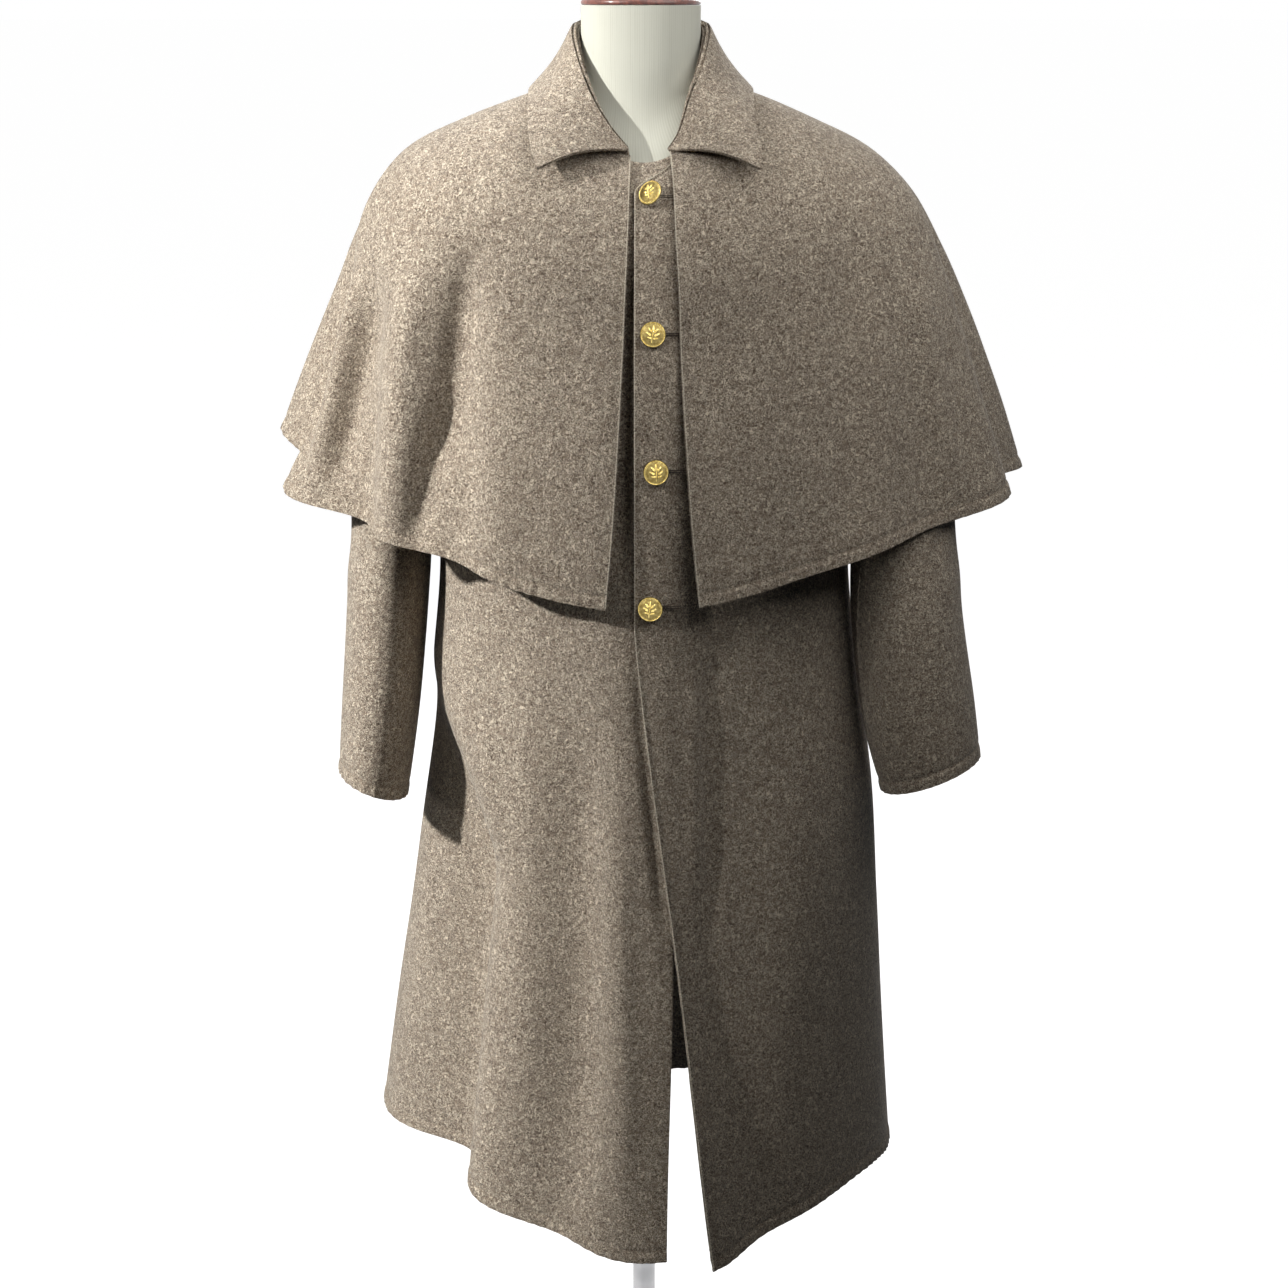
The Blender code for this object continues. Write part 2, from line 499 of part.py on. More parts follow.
def collar_half(sign):
    """Rows of points on one half of the collar's outer face: up the stand, over the roll line
    and down the fall, at stations from the front end to centre back."""
    places = np.linspace(0.0, len(COLLAR_STATIONS) - 1.0, COLLAR_STATION_COUNT)
    read = {
        name: along_table(COLLAR_STATIONS, k, places) for k, name in enumerate(COLLAR_COLUMNS)
    }
    shift = COLLAR_LEFT_SHIFT * (1.0 - smooth(places / COLLAR_LEFT_SHIFT_FADES)) * (sign > 0)
    angle = read["angle"] + np.degrees(shift / 0.084)
    seam = body_point(sign * angle, np.zeros_like(angle))
    seam[:, 2] += 2.0 * SEAM_GAP
    seam[:, :2] *= (1.0 - 0.6 * COLLAR_CLOTH / np.linalg.norm(seam[:, :2], axis=1))[:, None]
    roll = np.stack([sign * (read["roll_x"] + shift) + NECK_MIDDLE, read["roll_y"], read["roll_z"]], axis=1)
    edge = np.stack([sign * (read["edge_x"] + shift) + NECK_MIDDLE, read["edge_y"], read["edge_z"]], axis=1)
    out = roll * np.array([1.0, 1.0, 0.0])
    out /= np.linalg.norm(out, axis=1, keepdims=True)
    up = np.array([0.0, 0.0, 1.0])
    inside = roll - COLLAR_ROLL * (out + up)
    top = roll - 0.3 * COLLAR_ROLL * up
    outside = roll + COLLAR_ROLL * (out - up)
    rows = [seam, seam + 0.5 * (inside - seam), inside, top, outside]
    for share in (0.25, 0.5, 0.75, 1.0):
        swell = (read["bulge"] * math.sin(math.pi * share))[:, None]
        rows.append(outside + share * (edge - outside) + swell * (out + up) * 0.7)
    return np.stack(rows)


def make_collar():
    """A fall collar on a stand, one folded sheet from end to end."""
    right, left = collar_half(-1.0), collar_half(1.0)
    middle = np.concatenate([right, left[:, -2::-1]], axis=1)
    across, along = np.gradient(middle, axis=0), np.gradient(middle, axis=1)
    normals = np.cross(across, along)
    normals /= np.linalg.norm(normals, axis=2, keepdims=True)
    return cloth_wall("collar", middle + 0.5 * COLLAR_CLOTH * normals, normals, COLLAR_CLOTH)


def turned(name, profile, steps, colour, metallic, roughness):
    """A turned solid: a profile of (radius, height), spun about Z by a Screw modifier."""
    mesh = bpy.data.meshes.new(name)
    points = [(radius, 0.0, height) for radius, height in profile]
    mesh.from_pydata(points, [(k, k + 1) for k in range(len(points) - 1)], [])
    obj = finish(mesh, name, colour, metallic, roughness)
    screw = obj.modifiers.new("turned", "SCREW")
    screw.steps = screw.render_steps = steps
    screw.use_merge_vertices = True
    screw.merge_threshold = 0.01 * MM
    screw.use_smooth_shade = True
    return obj


def button_seat(height, offset):
    """Where a button stands on the left front, and the outward normal there."""
    section = np.interp(-height, [-row[5] for row in BODY_SECTIONS], np.arange(len(BODY_SECTIONS)))
    for _ in range(12):
        angle = edge_angle(BODY_SECTIONS, section, offset)
        section += (left_front_point(angle, section)[..., 2] - height) * 8.0
    angle, section = np.atleast_1d(angle), np.atleast_1d(section)
    return left_front_point(angle, section)[0], normals_of(left_front_point, angle, section)[0]


def make_buttons():
    """Domed buttons with a rim, on a short shank that stands on the cloth."""
    dome = SHANK_LENGTH + 5.4 * MM
    rim = SHANK_LENGTH + 1.4 * MM
    profile = (
        (0.0, dome), (0.36 * BUTTON_RADIUS, dome - 0.4 * MM), (0.68 * BUTTON_RADIUS, dome - 1.6 * MM),
        (0.9 * BUTTON_RADIUS, rim + 0.8 * MM), (BUTTON_RADIUS, rim), (0.94 * BUTTON_RADIUS, SHANK_LENGTH),
        (SHANK_RADIUS, SHANK_LENGTH), (SHANK_RADIUS, 0.0), (0.0, 0.0),
    )
    for number, (height, offset) in enumerate(zip(BUTTON_HEIGHTS, BUTTON_SIDES), start=1):
        seat, normal = button_seat(height, offset)
        button = turned(f"button_{number}", profile, BUTTON_STEPS, BRASS_COLOUR, 1.0, 0.25)
        button.location = seat + 1.5 * SEAM_GAP * normal
        facing = np.array([0.0, 0.0, 1.0])
        axis = np.cross(facing, normal)
        button.rotation_mode = "AXIS_ANGLE"
        button.rotation_axis_angle = (math.acos(float(normal[2])), *axis)


def form_point(angle, section):
    return garment_point(BODY_SECTIONS, (), angle, section)


def make_form():
    """The jersey-covered form: neck, shoulders and trunk, one closed solid with a flat base."""
    angles = np.linspace(0.0, 360.0, FORM_COLUMNS, endpoint=False)
    known, clearances = zip(*FORM_CLEARANCES)
    rings = []
    for section in np.linspace(0.0, known[-1], FORM_ROWS + 1):
        places = np.full_like(angles, section)
        inset = CLOTH + np.interp(section, known, clearances)
        rings.append(form_point(angles, places) - inset * normals_of(form_point, angles, places))
    turn = np.radians(angles)
    across, along = NECK_RADIUS * np.sin(turn), NECK_RADIUS * np.cos(turn)
    neck = np.stack([NECK_MIDDLE + across, -along, 0 * turn], axis=1)
    lower = neck.copy()
    lower[:, 2] = rings[0][:, 2] + NECK_RISE
    middle = neck.copy()
    middle[:, 2] = 0.5 * (lower[:, 2] + NECK_TOP)
    upper = neck.copy()
    upper[:, 2] = NECK_TOP
    rings[-1][:, 2] = rings[-1][:, 2].mean()
    rings = [upper, middle, lower] + rings
    points = np.concatenate(rings + [rings[0].mean(axis=0)[None], rings[-1].mean(axis=0)[None]])
    numbers = np.arange(len(rings) * FORM_COLUMNS).reshape(len(rings), FORM_COLUMNS)
    faces = []
    for k in range(len(rings) - 1):
        faces += strip(numbers[k + 1], numbers[k], True)
    top, bottom = len(points) - 2, len(points) - 1
    faces += [(top, a, b) for a, b in zip(numbers[0], np.roll(numbers[0], -1))]
    faces += [(bottom, b, a) for a, b in zip(numbers[-1], np.roll(numbers[-1], -1))]
    mesh = bpy.data.meshes.new("dress_form")
    mesh.from_pydata(points.tolist(), [], [[int(v) for v in face] for face in faces])
    finish(mesh, "dress_form", JERSEY_COLOUR, 0.0, 0.9)
    return float(rings[-1][0, 2])


def make_stand(form_base):
    """The form's wooden neck cap, and the pole and turned base that carry it."""
    cap = NECK_TOP + SEAM_GAP
    turned(
        "neck_cap",
        ((0.0, cap + CAP_HEIGHT), (0.8 * CAP_RADIUS, cap + 0.9 * CAP_HEIGHT),
         (CAP_RADIUS, cap + 0.5 * CAP_HEIGHT), (CAP_RADIUS, cap), (0.0, cap)),
        FORM_COLUMNS, WOOD_COLOUR, 0.0, 0.4,
    ).location.x = NECK_MIDDLE
    low, high = BASE_HUB + SEAM_GAP, form_base - SEAM_GAP
    bpy.ops.mesh.primitive_cylinder_add(
        vertices=24, radius=POLE_RADIUS, depth=high - low, location=(0.0, 0.0, (low + high) / 2)
    )
    pole = bpy.context.active_object
    mesh = pole.data
    place = pole.location.copy()
    bpy.data.objects.remove(pole)
    finish(mesh, "stand_pole", STEEL_COLOUR, 1.0, 0.35).location = place
    turned(
        "stand_base",
        ((0.0, BASE_HUB), (HUB_RADIUS, BASE_HUB), (HUB_RADIUS + 6 * MM, BASE_RIM + 6 * MM),
         (BASE_RADIUS - 6 * MM, BASE_RIM), (BASE_RADIUS, BASE_RIM - 6 * MM), (BASE_RADIUS, 0.0),
         (0.0, 0.0)),
        48, IRON_COLOUR, 0.6, 0.5,
    )


for old in list(bpy.data.objects):
    bpy.data.objects.remove(old)
PARTS = bpy.data.collections.new("greatcoat on dress form")
bpy.context.scene.collection.children.link(PARTS)

make_body()
make_sleeve("sleeve_right", "right", -1.0)
make_sleeve("sleeve_left", "left", 1.0)
make_cape()
make_collar()
make_buttons()
make_stand(make_form())
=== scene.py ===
# A caped wool greatcoat on a limbless dress form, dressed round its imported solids.
# Metres, +Z up. The floor is z = 0 under the pole, the front faces -Y and the wearer's left is +X.
import math

import bpy
import numpy as np
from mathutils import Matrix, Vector


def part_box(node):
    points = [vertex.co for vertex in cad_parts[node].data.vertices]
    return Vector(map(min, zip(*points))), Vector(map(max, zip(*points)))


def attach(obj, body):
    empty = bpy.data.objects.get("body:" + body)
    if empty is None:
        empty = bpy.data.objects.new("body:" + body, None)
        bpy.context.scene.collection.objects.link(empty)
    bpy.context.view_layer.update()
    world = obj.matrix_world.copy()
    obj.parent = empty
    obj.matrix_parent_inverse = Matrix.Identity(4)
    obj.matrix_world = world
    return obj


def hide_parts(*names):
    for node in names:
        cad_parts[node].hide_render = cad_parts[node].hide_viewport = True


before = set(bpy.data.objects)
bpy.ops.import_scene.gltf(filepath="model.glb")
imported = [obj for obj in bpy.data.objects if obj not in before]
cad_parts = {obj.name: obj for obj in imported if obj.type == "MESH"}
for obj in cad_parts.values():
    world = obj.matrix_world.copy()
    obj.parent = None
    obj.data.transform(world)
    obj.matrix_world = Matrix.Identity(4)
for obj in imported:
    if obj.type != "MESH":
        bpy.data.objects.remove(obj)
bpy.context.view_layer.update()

# Stand: base, pole and neck cap
# A turned iron base, painted black, carries a steel tube that ends inside the form, and a turned
# and varnished wooden cap closes the neck. Each is one profile, spun about its own axis.
MM = 0.001
BASE_RADIUS, BASE_RIM, BASE_HUB, HUB_RADIUS = 180 * MM, 14 * MM, 46 * MM, 30 * MM
HUB_FOOT = 6 * MM
POLE_RADIUS = 12 * MM
CAP_RADIUS, CAP_MIDDLE = 57.5 * MM, -3 * MM
TURNED_CORNER, TUBE_CORNER = 2.5 * MM, 1 * MM
BASE_STEPS, POLE_STEPS, CAP_STEPS = 144, 64, 128
IRON = (0.018, 0.018, 0.019, 1.0)
IRON_WORN = (0.06, 0.06, 0.06, 1.0)
STEEL = (0.50, 0.50, 0.51, 1.0)
STEEL_DULL = (0.36, 0.36, 0.37, 1.0)
VARNISHED_WOOD = (0.20, 0.055, 0.035, 1.0)
WOOD_GRAIN = (0.09, 0.022, 0.014, 1.0)


class Amount:
    """A number or colour that varies over a surface. Sums on it add Math nodes to its finish."""

    def __init__(self, recipe, socket):
        self.recipe = recipe
        self.socket = socket

    def sum_with(self, operation, other, reflected=False):
        pair = (other, self) if reflected else (self, other)
        return self.recipe.node("ShaderNodeMath", {"operation": operation}, {0: pair[0], 1: pair[1]})

    def __add__(self, other):
        return self.sum_with("ADD", other)

    def __sub__(self, other):
        return self.sum_with("SUBTRACT", other)

    def __mul__(self, other):
        return self.sum_with("MULTIPLY", other)

    __radd__ = __add__
    __rmul__ = __mul__

    def __rsub__(self, other):
        return self.sum_with("SUBTRACT", other, reflected=True)

    def size(self):
        return self.recipe.node("ShaderNodeMath", {"operation": "ABSOLUTE"}, {0: self})

    def wave(self):
        return self.recipe.node("ShaderNodeMath", {"operation": "SINE"}, {0: self})

    def between(self, low, high):
        """0 up to low, 1 from high on, and a soft rise between. Low may be the greater one."""
        values = {"Value": self, "From Min": low, "From Max": high}
        return self.recipe.node("ShaderNodeMapRange", {"interpolation_type": "SMOOTHSTEP"}, values)


class Recipe:
    """A finish in the making. node() adds one node: its kind, its settings, then its sockets."""

    def __init__(self, name, **shader_values):
        self.material = bpy.data.materials.new(name)
        self.material.use_nodes = True
        self.tree = self.material.node_tree
        self.shader = self.tree.nodes["Principled BSDF"]
        self.shine(**shader_values)

    def fill(self, node, values):
        for key, value in values.items():
            if isinstance(value, Amount):
                self.tree.links.new(value.socket, node.inputs[key])
            else:
                node.inputs[key].default_value = value

    def node(self, kind, settings=None, values=None, output=0):
        node = self.tree.nodes.new(kind)
        for key, value in (settings or {}).items():
            setattr(node, key, value)
        self.fill(node, values or {})
        return Amount(self, node.outputs[output])

    def shine(self, **values):
        """Sets or links the shader's own sockets, named in lower case with underscores."""
        named = {key.replace("_", " ").title().replace("Ior", "IOR"): v for key, v in values.items()}
        self.fill(self.shader, named)

    def place(self):
        return self.node("ShaderNodeTexCoord", output=3)

    def on_cloth(self):
        return self.node("ShaderNodeUVMap", {"uv_map": "cloth"})

    def moved(self, place, scale=(1.0, 1.0, 1.0), shift=(0.0, 0.0, 0.0)):
        return self.node("ShaderNodeMapping", None, {"Vector": place, "Location": shift, "Scale": scale})

    def noise(self, place, size, detail=2.0, roughness=0.5, distortion=0.0):
        """Soft noise whose blots are about as wide as the size, in metres."""
        values = {"Vector": place, "Scale": 1.0 / size, "Detail": detail, "Roughness": roughness}
        values["Distortion"] = distortion
        return self.node("ShaderNodeTexNoise", None, values)

    def blend(self, share, first, second):
        return self.node("ShaderNodeMix", {"data_type": "RGBA"}, {0: share, 6: first, 7: second}, 2)

    def raised(self, height, distance, strength=1.0):
        values = {"Height": height, "Distance": distance, "Strength": strength}
        self.shine(normal=self.node("ShaderNodeBump", None, values))


def iron_finish():
    """Black paint over cast iron: fine pimples, and thin grey wear in blots."""
    recipe = Recipe("painted iron", specular_ior_level=0.4)
    place = recipe.place()
    grain = recipe.noise(place, 1.5 * MM, 3.0)
    worn = recipe.noise(place, 30 * MM, 4.0, 0.65).between(0.60, 0.78)
    recipe.shine(base_color=recipe.blend(worn, IRON, IRON_WORN), roughness=0.42 + 0.25 * worn)
    recipe.raised(grain, 0.3 * MM, 0.5)
    return recipe.material


def steel_finish():
    """Drawn steel tube: fine marks along it, and dull patches."""
    recipe = Recipe("drawn steel", metallic=1.0)
    place = recipe.place()
    marks = recipe.noise(recipe.moved(place, (900.0, 900.0, 12.0)), 1.0, 2.0)
    dull = recipe.noise(place, 60 * MM, 3.0).between(0.45, 0.7)
    recipe.shine(base_color=recipe.blend(dull, STEEL, STEEL_DULL), roughness=0.24 + 0.2 * marks)
    recipe.raised(marks, 0.05 * MM, 0.4)
    return recipe.material


def wood_finish():
    """Reddish varnished wood: long grain with darker lines under a clear coat."""
    recipe = Recipe("varnished wood", roughness=0.38, coat_weight=0.4, coat_roughness=0.15)
    place = recipe.moved(recipe.place(), (260.0, 30.0, 260.0))
    grain = recipe.noise(place, 1.0, 4.0, 0.6, 0.6).between(0.38, 0.66)
    recipe.shine(base_color=recipe.blend(grain, WOOD_GRAIN, VARNISHED_WOOD))
    recipe.raised(grain, 0.1 * MM, 0.4)
    return recipe.material


def make_piece(name, points, faces, finish, slot):
    """A smooth object at the origin, from an array of points and its faces."""
    mesh = bpy.data.meshes.new(name)
    mesh.from_pydata(points.tolist(), [], faces)
    mesh.materials.append(finish)
    mesh.shade_smooth()
    piece = bpy.data.objects.new(name, mesh)
    bpy.context.scene.collection.objects.link(piece)
    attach(piece, "root")
    return piece


def softened(corners, radius):
    """A profile with its inner corners rounded: each is cut back by the radius, and a parabola
    (1-t)^2 before + 2t(1-t) corner + t^2 after runs between the cuts."""
    corners = np.array(corners, float)
    t = np.linspace(0.0, 1.0, 6)[:, None]
    rounded = [corners[:1]]
    for before, corner, after in zip(corners, corners[1:], corners[2:]):
        cuts = []
        for other in (before, after):
            length = np.linalg.norm(other - corner)
            cuts.append(corner + (other - corner) * min(radius / length, 0.45))
        rounded.append((1 - t) ** 2 * cuts[0] + 2 * t * (1 - t) * corner + t**2 * cuts[1])
    return np.concatenate(rounded + [corners[-1:]])


def grid_quads(rows, columns, closed):
    """Row, column and point numbers of the corners of each quad on a grid that runs down and then
    to the left as seen from outside."""
    reach = columns if closed else columns - 1
    down, along = np.meshgrid(np.arange(rows - 1), np.arange(reach), indexing="ij")
    row = np.stack([down + 1, down + 1, down, down], axis=-1).reshape(-1, 4)
    column = np.stack([along, along + 1, along + 1, along], axis=-1).reshape(-1, 4)
    return row, column, row * columns + column % columns


def turned_rings(profile, steps):
    """One ring for each (radius, height) pair: x = radius cos a, y = radius sin a, z = height."""
    turn = 2 * np.pi * np.arange(steps) / steps
    radius, height = profile[:, 0:1], profile[:, 1:2]
    return np.stack([radius * np.cos(turn), radius * np.sin(turn), height + 0 * turn], axis=-1)


def closed_rings(rings, top, foot):
    """Points and faces of rings from the top down, closed by a point on the axis at each end."""
    count, steps = rings.shape[:2]
    faces = grid_quads(count, steps, True)[2].tolist()
    first, last = np.arange(steps), (count - 1) * steps + np.arange(steps)
    faces += [(count * steps, int(a), int(b)) for a, b in zip(first, np.roll(first, -1))]
    faces += [(count * steps + 1, int(b), int(a)) for a, b in zip(last, np.roll(last, -1))]
    ends = np.array([[0.0, 0.0, top], [0.0, 0.0, foot]])
    return np.concatenate([rings.reshape(-1, 3), ends]), faces


def turned_piece(name, corners, rounding, steps, finish, slot, middle=0.0):
    """A closed turned solid. Its profile's corners run from the top of the axis to its foot."""
    profile = softened(corners, rounding)
    rings = turned_rings(profile[1:-1], steps)
    points, faces = closed_rings(rings, profile[0, 1], profile[-1, 1])
    points[:, 0] += middle
    return make_piece(name, points, faces, finish, slot)


base = turned_piece("weighted_base", (
    (0.0, BASE_HUB), (HUB_RADIUS, BASE_HUB), (HUB_RADIUS + HUB_FOOT, BASE_RIM + HUB_FOOT),
    (BASE_RADIUS - HUB_FOOT, BASE_RIM), (BASE_RADIUS, BASE_RIM - HUB_FOOT), (BASE_RADIUS, 0.0),
    (0.0, 0.0),
), TURNED_CORNER, BASE_STEPS, iron_finish(), "base_iron")
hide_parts("stand_base")

pole_low, pole_high = (corner[2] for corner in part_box("stand_pole"))
pole = turned_piece("steel_pole", (
    (0.0, pole_high), (POLE_RADIUS, pole_high), (POLE_RADIUS, pole_low), (0.0, pole_low),
), TUBE_CORNER, POLE_STEPS, steel_finish(), "pole_steel")
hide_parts("stand_pole")

cap_low, cap_high = (corner[2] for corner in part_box("neck_cap"))
cap = turned_piece("turned_neck_cap", (
    (0.0, cap_high), (0.8 * CAP_RADIUS, cap_high - 1 * MM), (CAP_RADIUS, (cap_low + cap_high) / 2),
    (CAP_RADIUS, cap_low), (0.0, cap_low),
), TURNED_CORNER, CAP_STEPS, wood_finish(), "cap_wood", CAP_MIDDLE)
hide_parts("neck_cap")

# Dress form
# A limbless padded form covered in one layer of off-white ribbed jersey, with a round neck.
# It is one smooth skin over rings, and the coat's sections outside it set its own size.
CLOTH = 2.4 * MM
SECTION_COLUMNS = (
    "right", "left", "front", "back", "z_front", "z_right", "z_left", "z_back", "square", "slope",
)
# Sections of the coat from the neckline to the hem: half widths on the wearer's right and left,
# depths in front and behind, heights at the four quarters, how square, and the front's fall.
BODY_SECTIONS = (
    ("neckline", 0.075, 0.069, 0.084, 0.070, 1.412, 1.480, 1.479, 1.492, 2.0, 2.0),
    ("yoke", 0.117, 0.113, 0.112, 0.094, 1.388, 1.4655, 1.4655, 1.470, 2.1, 2.0),
    ("shoulder", 0.168, 0.168, 0.132, 0.114, 1.352, 1.4465, 1.442, 1.440, 2.3, 2.0),
    ("shoulder tip", 0.212, 0.212, 0.146, 0.128, 1.312, 1.423, 1.418, 1.400, 2.5, 2.0),
    ("armhole", 0.224, 0.224, 0.156, 0.140, 1.268, 1.366, 1.364, 1.347, 2.6, 2.0),
    ("chest", 0.224, 0.224, 0.164, 0.148, 1.218, 1.292, 1.290, 1.282, 2.6, 2.0),
    ("underarm", 0.215, 0.215, 0.168, 0.151, 1.158, 1.202, 1.200, 1.195, 2.5, 2.0),
    ("ribs", 0.208, 0.207, 0.169, 0.151, 1.085, 1.108, 1.108, 1.102, 2.4, 2.0),
    ("waist", 0.207, 0.207, 0.169, 0.152, 1.000, 1.010, 1.010, 1.005, 2.35, 2.0),
    ("hip", 0.217, 0.2185, 0.172, 0.160, 0.900, 0.905, 0.905, 0.900, 2.3, 2.0),
    ("seat", 0.228, 0.236, 0.178, 0.174, 0.775, 0.785, 0.778, 0.775, 2.3, 2.4),
    ("thigh", 0.2445, 0.244, 0.190, 0.190, 0.640, 0.662, 0.650, 0.640, 2.3, 3.6),
    ("knee", 0.264, 0.252, 0.204, 0.209, 0.503, 0.543, 0.526, 0.500, 2.3, 5.0),
    ("hem", 0.284, 0.264, 0.222, 0.230, 0.341, 0.409, 0.381, 0.340, 2.3, 6.0),
)
BACK_SLOPE = 2.0
FORM_CLEARANCES = (
    (0.0, 3.2 * MM), (1.0, 0.9 * MM), (2.0, 1.0 * MM), (3.0, 8.0 * MM), (4.0, 20.0 * MM),
    (5.0, 24.0 * MM), (6.0, 22.0 * MM), (7.0, 18.0 * MM), (8.0, 20.0 * MM), (9.0, 26.0 * MM),
    (9.9, 44.0 * MM),
)
FORM_RINGS, FORM_STEPS, FORM_FINE = 18, 160, 7
NECK_RADIUS, NECK_TOP, NECK_RISE = 57.5 * MM, 1.5545, 34 * MM
JERSEY = (0.58, 0.585, 0.515, 1.0)
# Darker jersey colour, painted into the grooves between the ribs as shade.
JERSEY_GROOVE_SHADE = (0.50, 0.50, 0.43, 1.0)
RIB_PITCH = 2.2 * MM
SHARP_OVER = 60.0
ANGLE_STEP, SECTION_STEP = 0.5, 0.02


def smooth(x):
    """Rises from 0 to 1 as x does, level at both ends."""
    x = np.clip(x, 0.0, 1.0)
    return x * x * (3.0 - 2.0 * x)


def spline(knots, place):
    """A smooth curve through knots, read at places counted in knots. Between two knots it is the
    cubic that has, at each, half the step from the knot before to the knot after as its slope."""
    knots = np.asarray(knots, float)
    padded = np.concatenate([[2 * knots[0] - knots[1]], knots, [2 * knots[-1] - knots[-2]]])
    first = np.clip(np.floor(place).astype(int), 0, len(knots) - 2)
    t = (place - first).reshape(place.shape + (1,) * (knots.ndim - 1))
    before, here, after, beyond = (padded[first + k] for k in range(4))
    slope_here, slope_after = (after - before) / 2, (beyond - here) / 2
    rest = after - here
    bend = 3 * rest - 2 * slope_here - slope_after
    return here + slope_here * t + bend * t**2 + (slope_here + slope_after - 2 * rest) * t**3


def column_of(rows, columns, name, place):
    return spline([row[1 + columns.index(name)] for row in rows], np.asarray(place, float))


def fold_shape(folds, angle, section, last):
    """How far the soft folds move a point out and up. A fold is a bell across its width, which
    grows down the cloth and may change again towards the last section."""
    out = np.zeros(np.broadcast(angle, section).shape)
    up = np.zeros_like(out)
    for side, start, growth, first, final, front_width, back_width, height, share, rise in folds:
        grown = smooth((section - start) / growth)
        late = smooth((section - start - growth) / max(last - start - growth, 1.0))
        turned = angle if side == "left" else -angle
        across = (turned - first - (final - first) * grown + 180.0) % 360.0 - 180.0
        width = np.where(across < 0, front_width, back_width)
        bell = grown * (1.0 - (1.0 - share) * late) * np.exp(-0.5 * (across / width) ** 2)
        out = out + height * bell
        up = up + rise * bell
    return out, up


def garment_point(rows, folds, angle, section):
    """A point on a garment: a squared oval |x/side|^n + |y/depth|^n = 1 whose sizes and heights
    are read from the sections, moved by the folds. Angles run from the front to the left."""
    turn = np.radians(angle)
    sine, cosine = np.sin(turn), np.cos(turn)
    is_left, is_front = sine > 0, cosine > 0
    read = {name: column_of(rows, SECTION_COLUMNS, name, section) for name in SECTION_COLUMNS}
    side = np.where(is_left, read["left"], read["right"])
    depth = np.where(is_front, read["front"], read["back"])
    square = read["square"]
    radius = ((np.abs(sine) / side) ** square + (np.abs(cosine) / depth) ** square) ** (-1 / square)
    out, up = fold_shape(folds, angle, section, len(rows) - 1.0)
    z_side = np.where(is_left, read["z_left"], read["z_right"])
    z_end = np.where(is_front, read["z_front"], read["z_back"])
    power = np.where(is_front, read["slope"], BACK_SLOPE)
    height = z_side + (z_end - z_side) * np.abs(cosine) ** power + up
    return np.stack([(radius + out) * sine, -(radius + out) * cosine, height], axis=-1)


def unit(vectors):
    return vectors / np.linalg.norm(vectors, axis=-1, keepdims=True)


def normals_of(surface, angle, section):
    """Outward normals of a surface that is given as a function of angle and section."""
    around = surface(angle + ANGLE_STEP, section) - surface(angle - ANGLE_STEP, section)
    above = surface(angle, np.maximum(section - SECTION_STEP, 0.0))
    return unit(np.cross(around, above - surface(angle, section + SECTION_STEP)))


def form_point(angle, section):
    return garment_point(BODY_SECTIONS, (), angle, section)


def form_rings(angles):
    """The form's rings: three round ones up the neck, then the coat's sections moved in."""
    known, clearances = zip(*FORM_CLEARANCES)
    rings = []
    for section in np.linspace(0.0, known[-1], FORM_RINGS):
        places = np.full_like(angles, section)
        inset = CLOTH + np.interp(section, known, clearances)
        rings.append(form_point(angles, places) - inset * normals_of(form_point, angles, places))
    turn = np.radians(angles)
    neck = np.stack([CAP_MIDDLE + NECK_RADIUS * np.sin(turn), -NECK_RADIUS * np.cos(turn)], axis=1)
    lower = rings[0][:, 2] + NECK_RISE
    rings[-1][:, 2] = rings[-1][:, 2].mean()
    for height in (lower, 0.5 * (lower + NECK_TOP), NECK_TOP + 0 * lower):
        rings.insert(0, np.concatenate([neck, height[:, None]], axis=1))
    return np.stack(rings)


def jersey_finish():
    """Cotton jersey: fine upright ribs whose grooves are darkened as painted shade, a few of them
    more, over a soft mottle.
    """
    recipe = Recipe("ribbed jersey", roughness=0.9, specular_ior_level=0.2, sheen_weight=0.15)
    place = recipe.on_cloth()
    turn = recipe.node("ShaderNodeSeparateXYZ", None, {0: place})
    rib = (turn * (2 * math.pi / RIB_PITCH)).wave()
    drawn = recipe.noise(recipe.moved(place, (400.0, 9.0, 1.0)), 1.0, 2.0).between(0.42, 0.66)
    # Painted shade: the low half of each rib's wave, where the grooves lie, is coloured darker.
    groove_shade = rib.between(0.1, -1.0) * (0.25 + 0.5 * drawn)
    cloudy = recipe.noise(place, 40 * MM, 3.0)
    recipe.shine(base_color=recipe.blend(groove_shade * (0.5 + cloudy), JERSEY, JERSEY_GROOVE_SHADE))
    recipe.raised(rib * 0.5 + recipe.noise(place, 0.8 * MM), 0.12 * MM, 0.6)
    return recipe.material


def lengths_along(line):
    """How far along a line of points each of them is."""
    return np.concatenate([[0.0], np.cumsum(np.linalg.norm(np.diff(line, axis=0), axis=1))])


def set_cloth_places(piece, quads_at):
    """Writes the map named cloth: each face corner's place on the flat cloth, in metres."""
    layer = piece.data.uv_layers.new(name="cloth")
    layer.data.foreach_set("uv", quads_at.reshape(-1).astype(np.float32))


form_angles = np.linspace(0.0, 360.0, FORM_STEPS, endpoint=False)
form_knots = form_rings(form_angles)
form_grid = spline(form_knots, np.linspace(0.0, len(form_knots) - 1.0, len(form_knots) * FORM_FINE))
form_grid[0, :, 2] = NECK_TOP
form_row, form_column, form_quads = grid_quads(len(form_grid), FORM_STEPS, True)
form_numbers = np.arange(len(form_grid) * FORM_STEPS)
form_ends = [form_numbers[:FORM_STEPS].tolist(), form_numbers[:-FORM_STEPS - 1:-1].tolist()]
form = make_piece(
    "jersey_form", form_grid.reshape(-1, 3), form_quads.tolist() + form_ends, jersey_finish(),
    "form_jersey",
)
form_across = form_column * 2 * np.pi * NECK_RADIUS / FORM_STEPS
form_down = lengths_along(form_grid[:, 0])[form_row]
form_places = np.stack([form_across, form_down], axis=-1).reshape(-1, 2)
set_cloth_places(form, np.concatenate([form_places, np.zeros((2 * FORM_STEPS, 2))]))
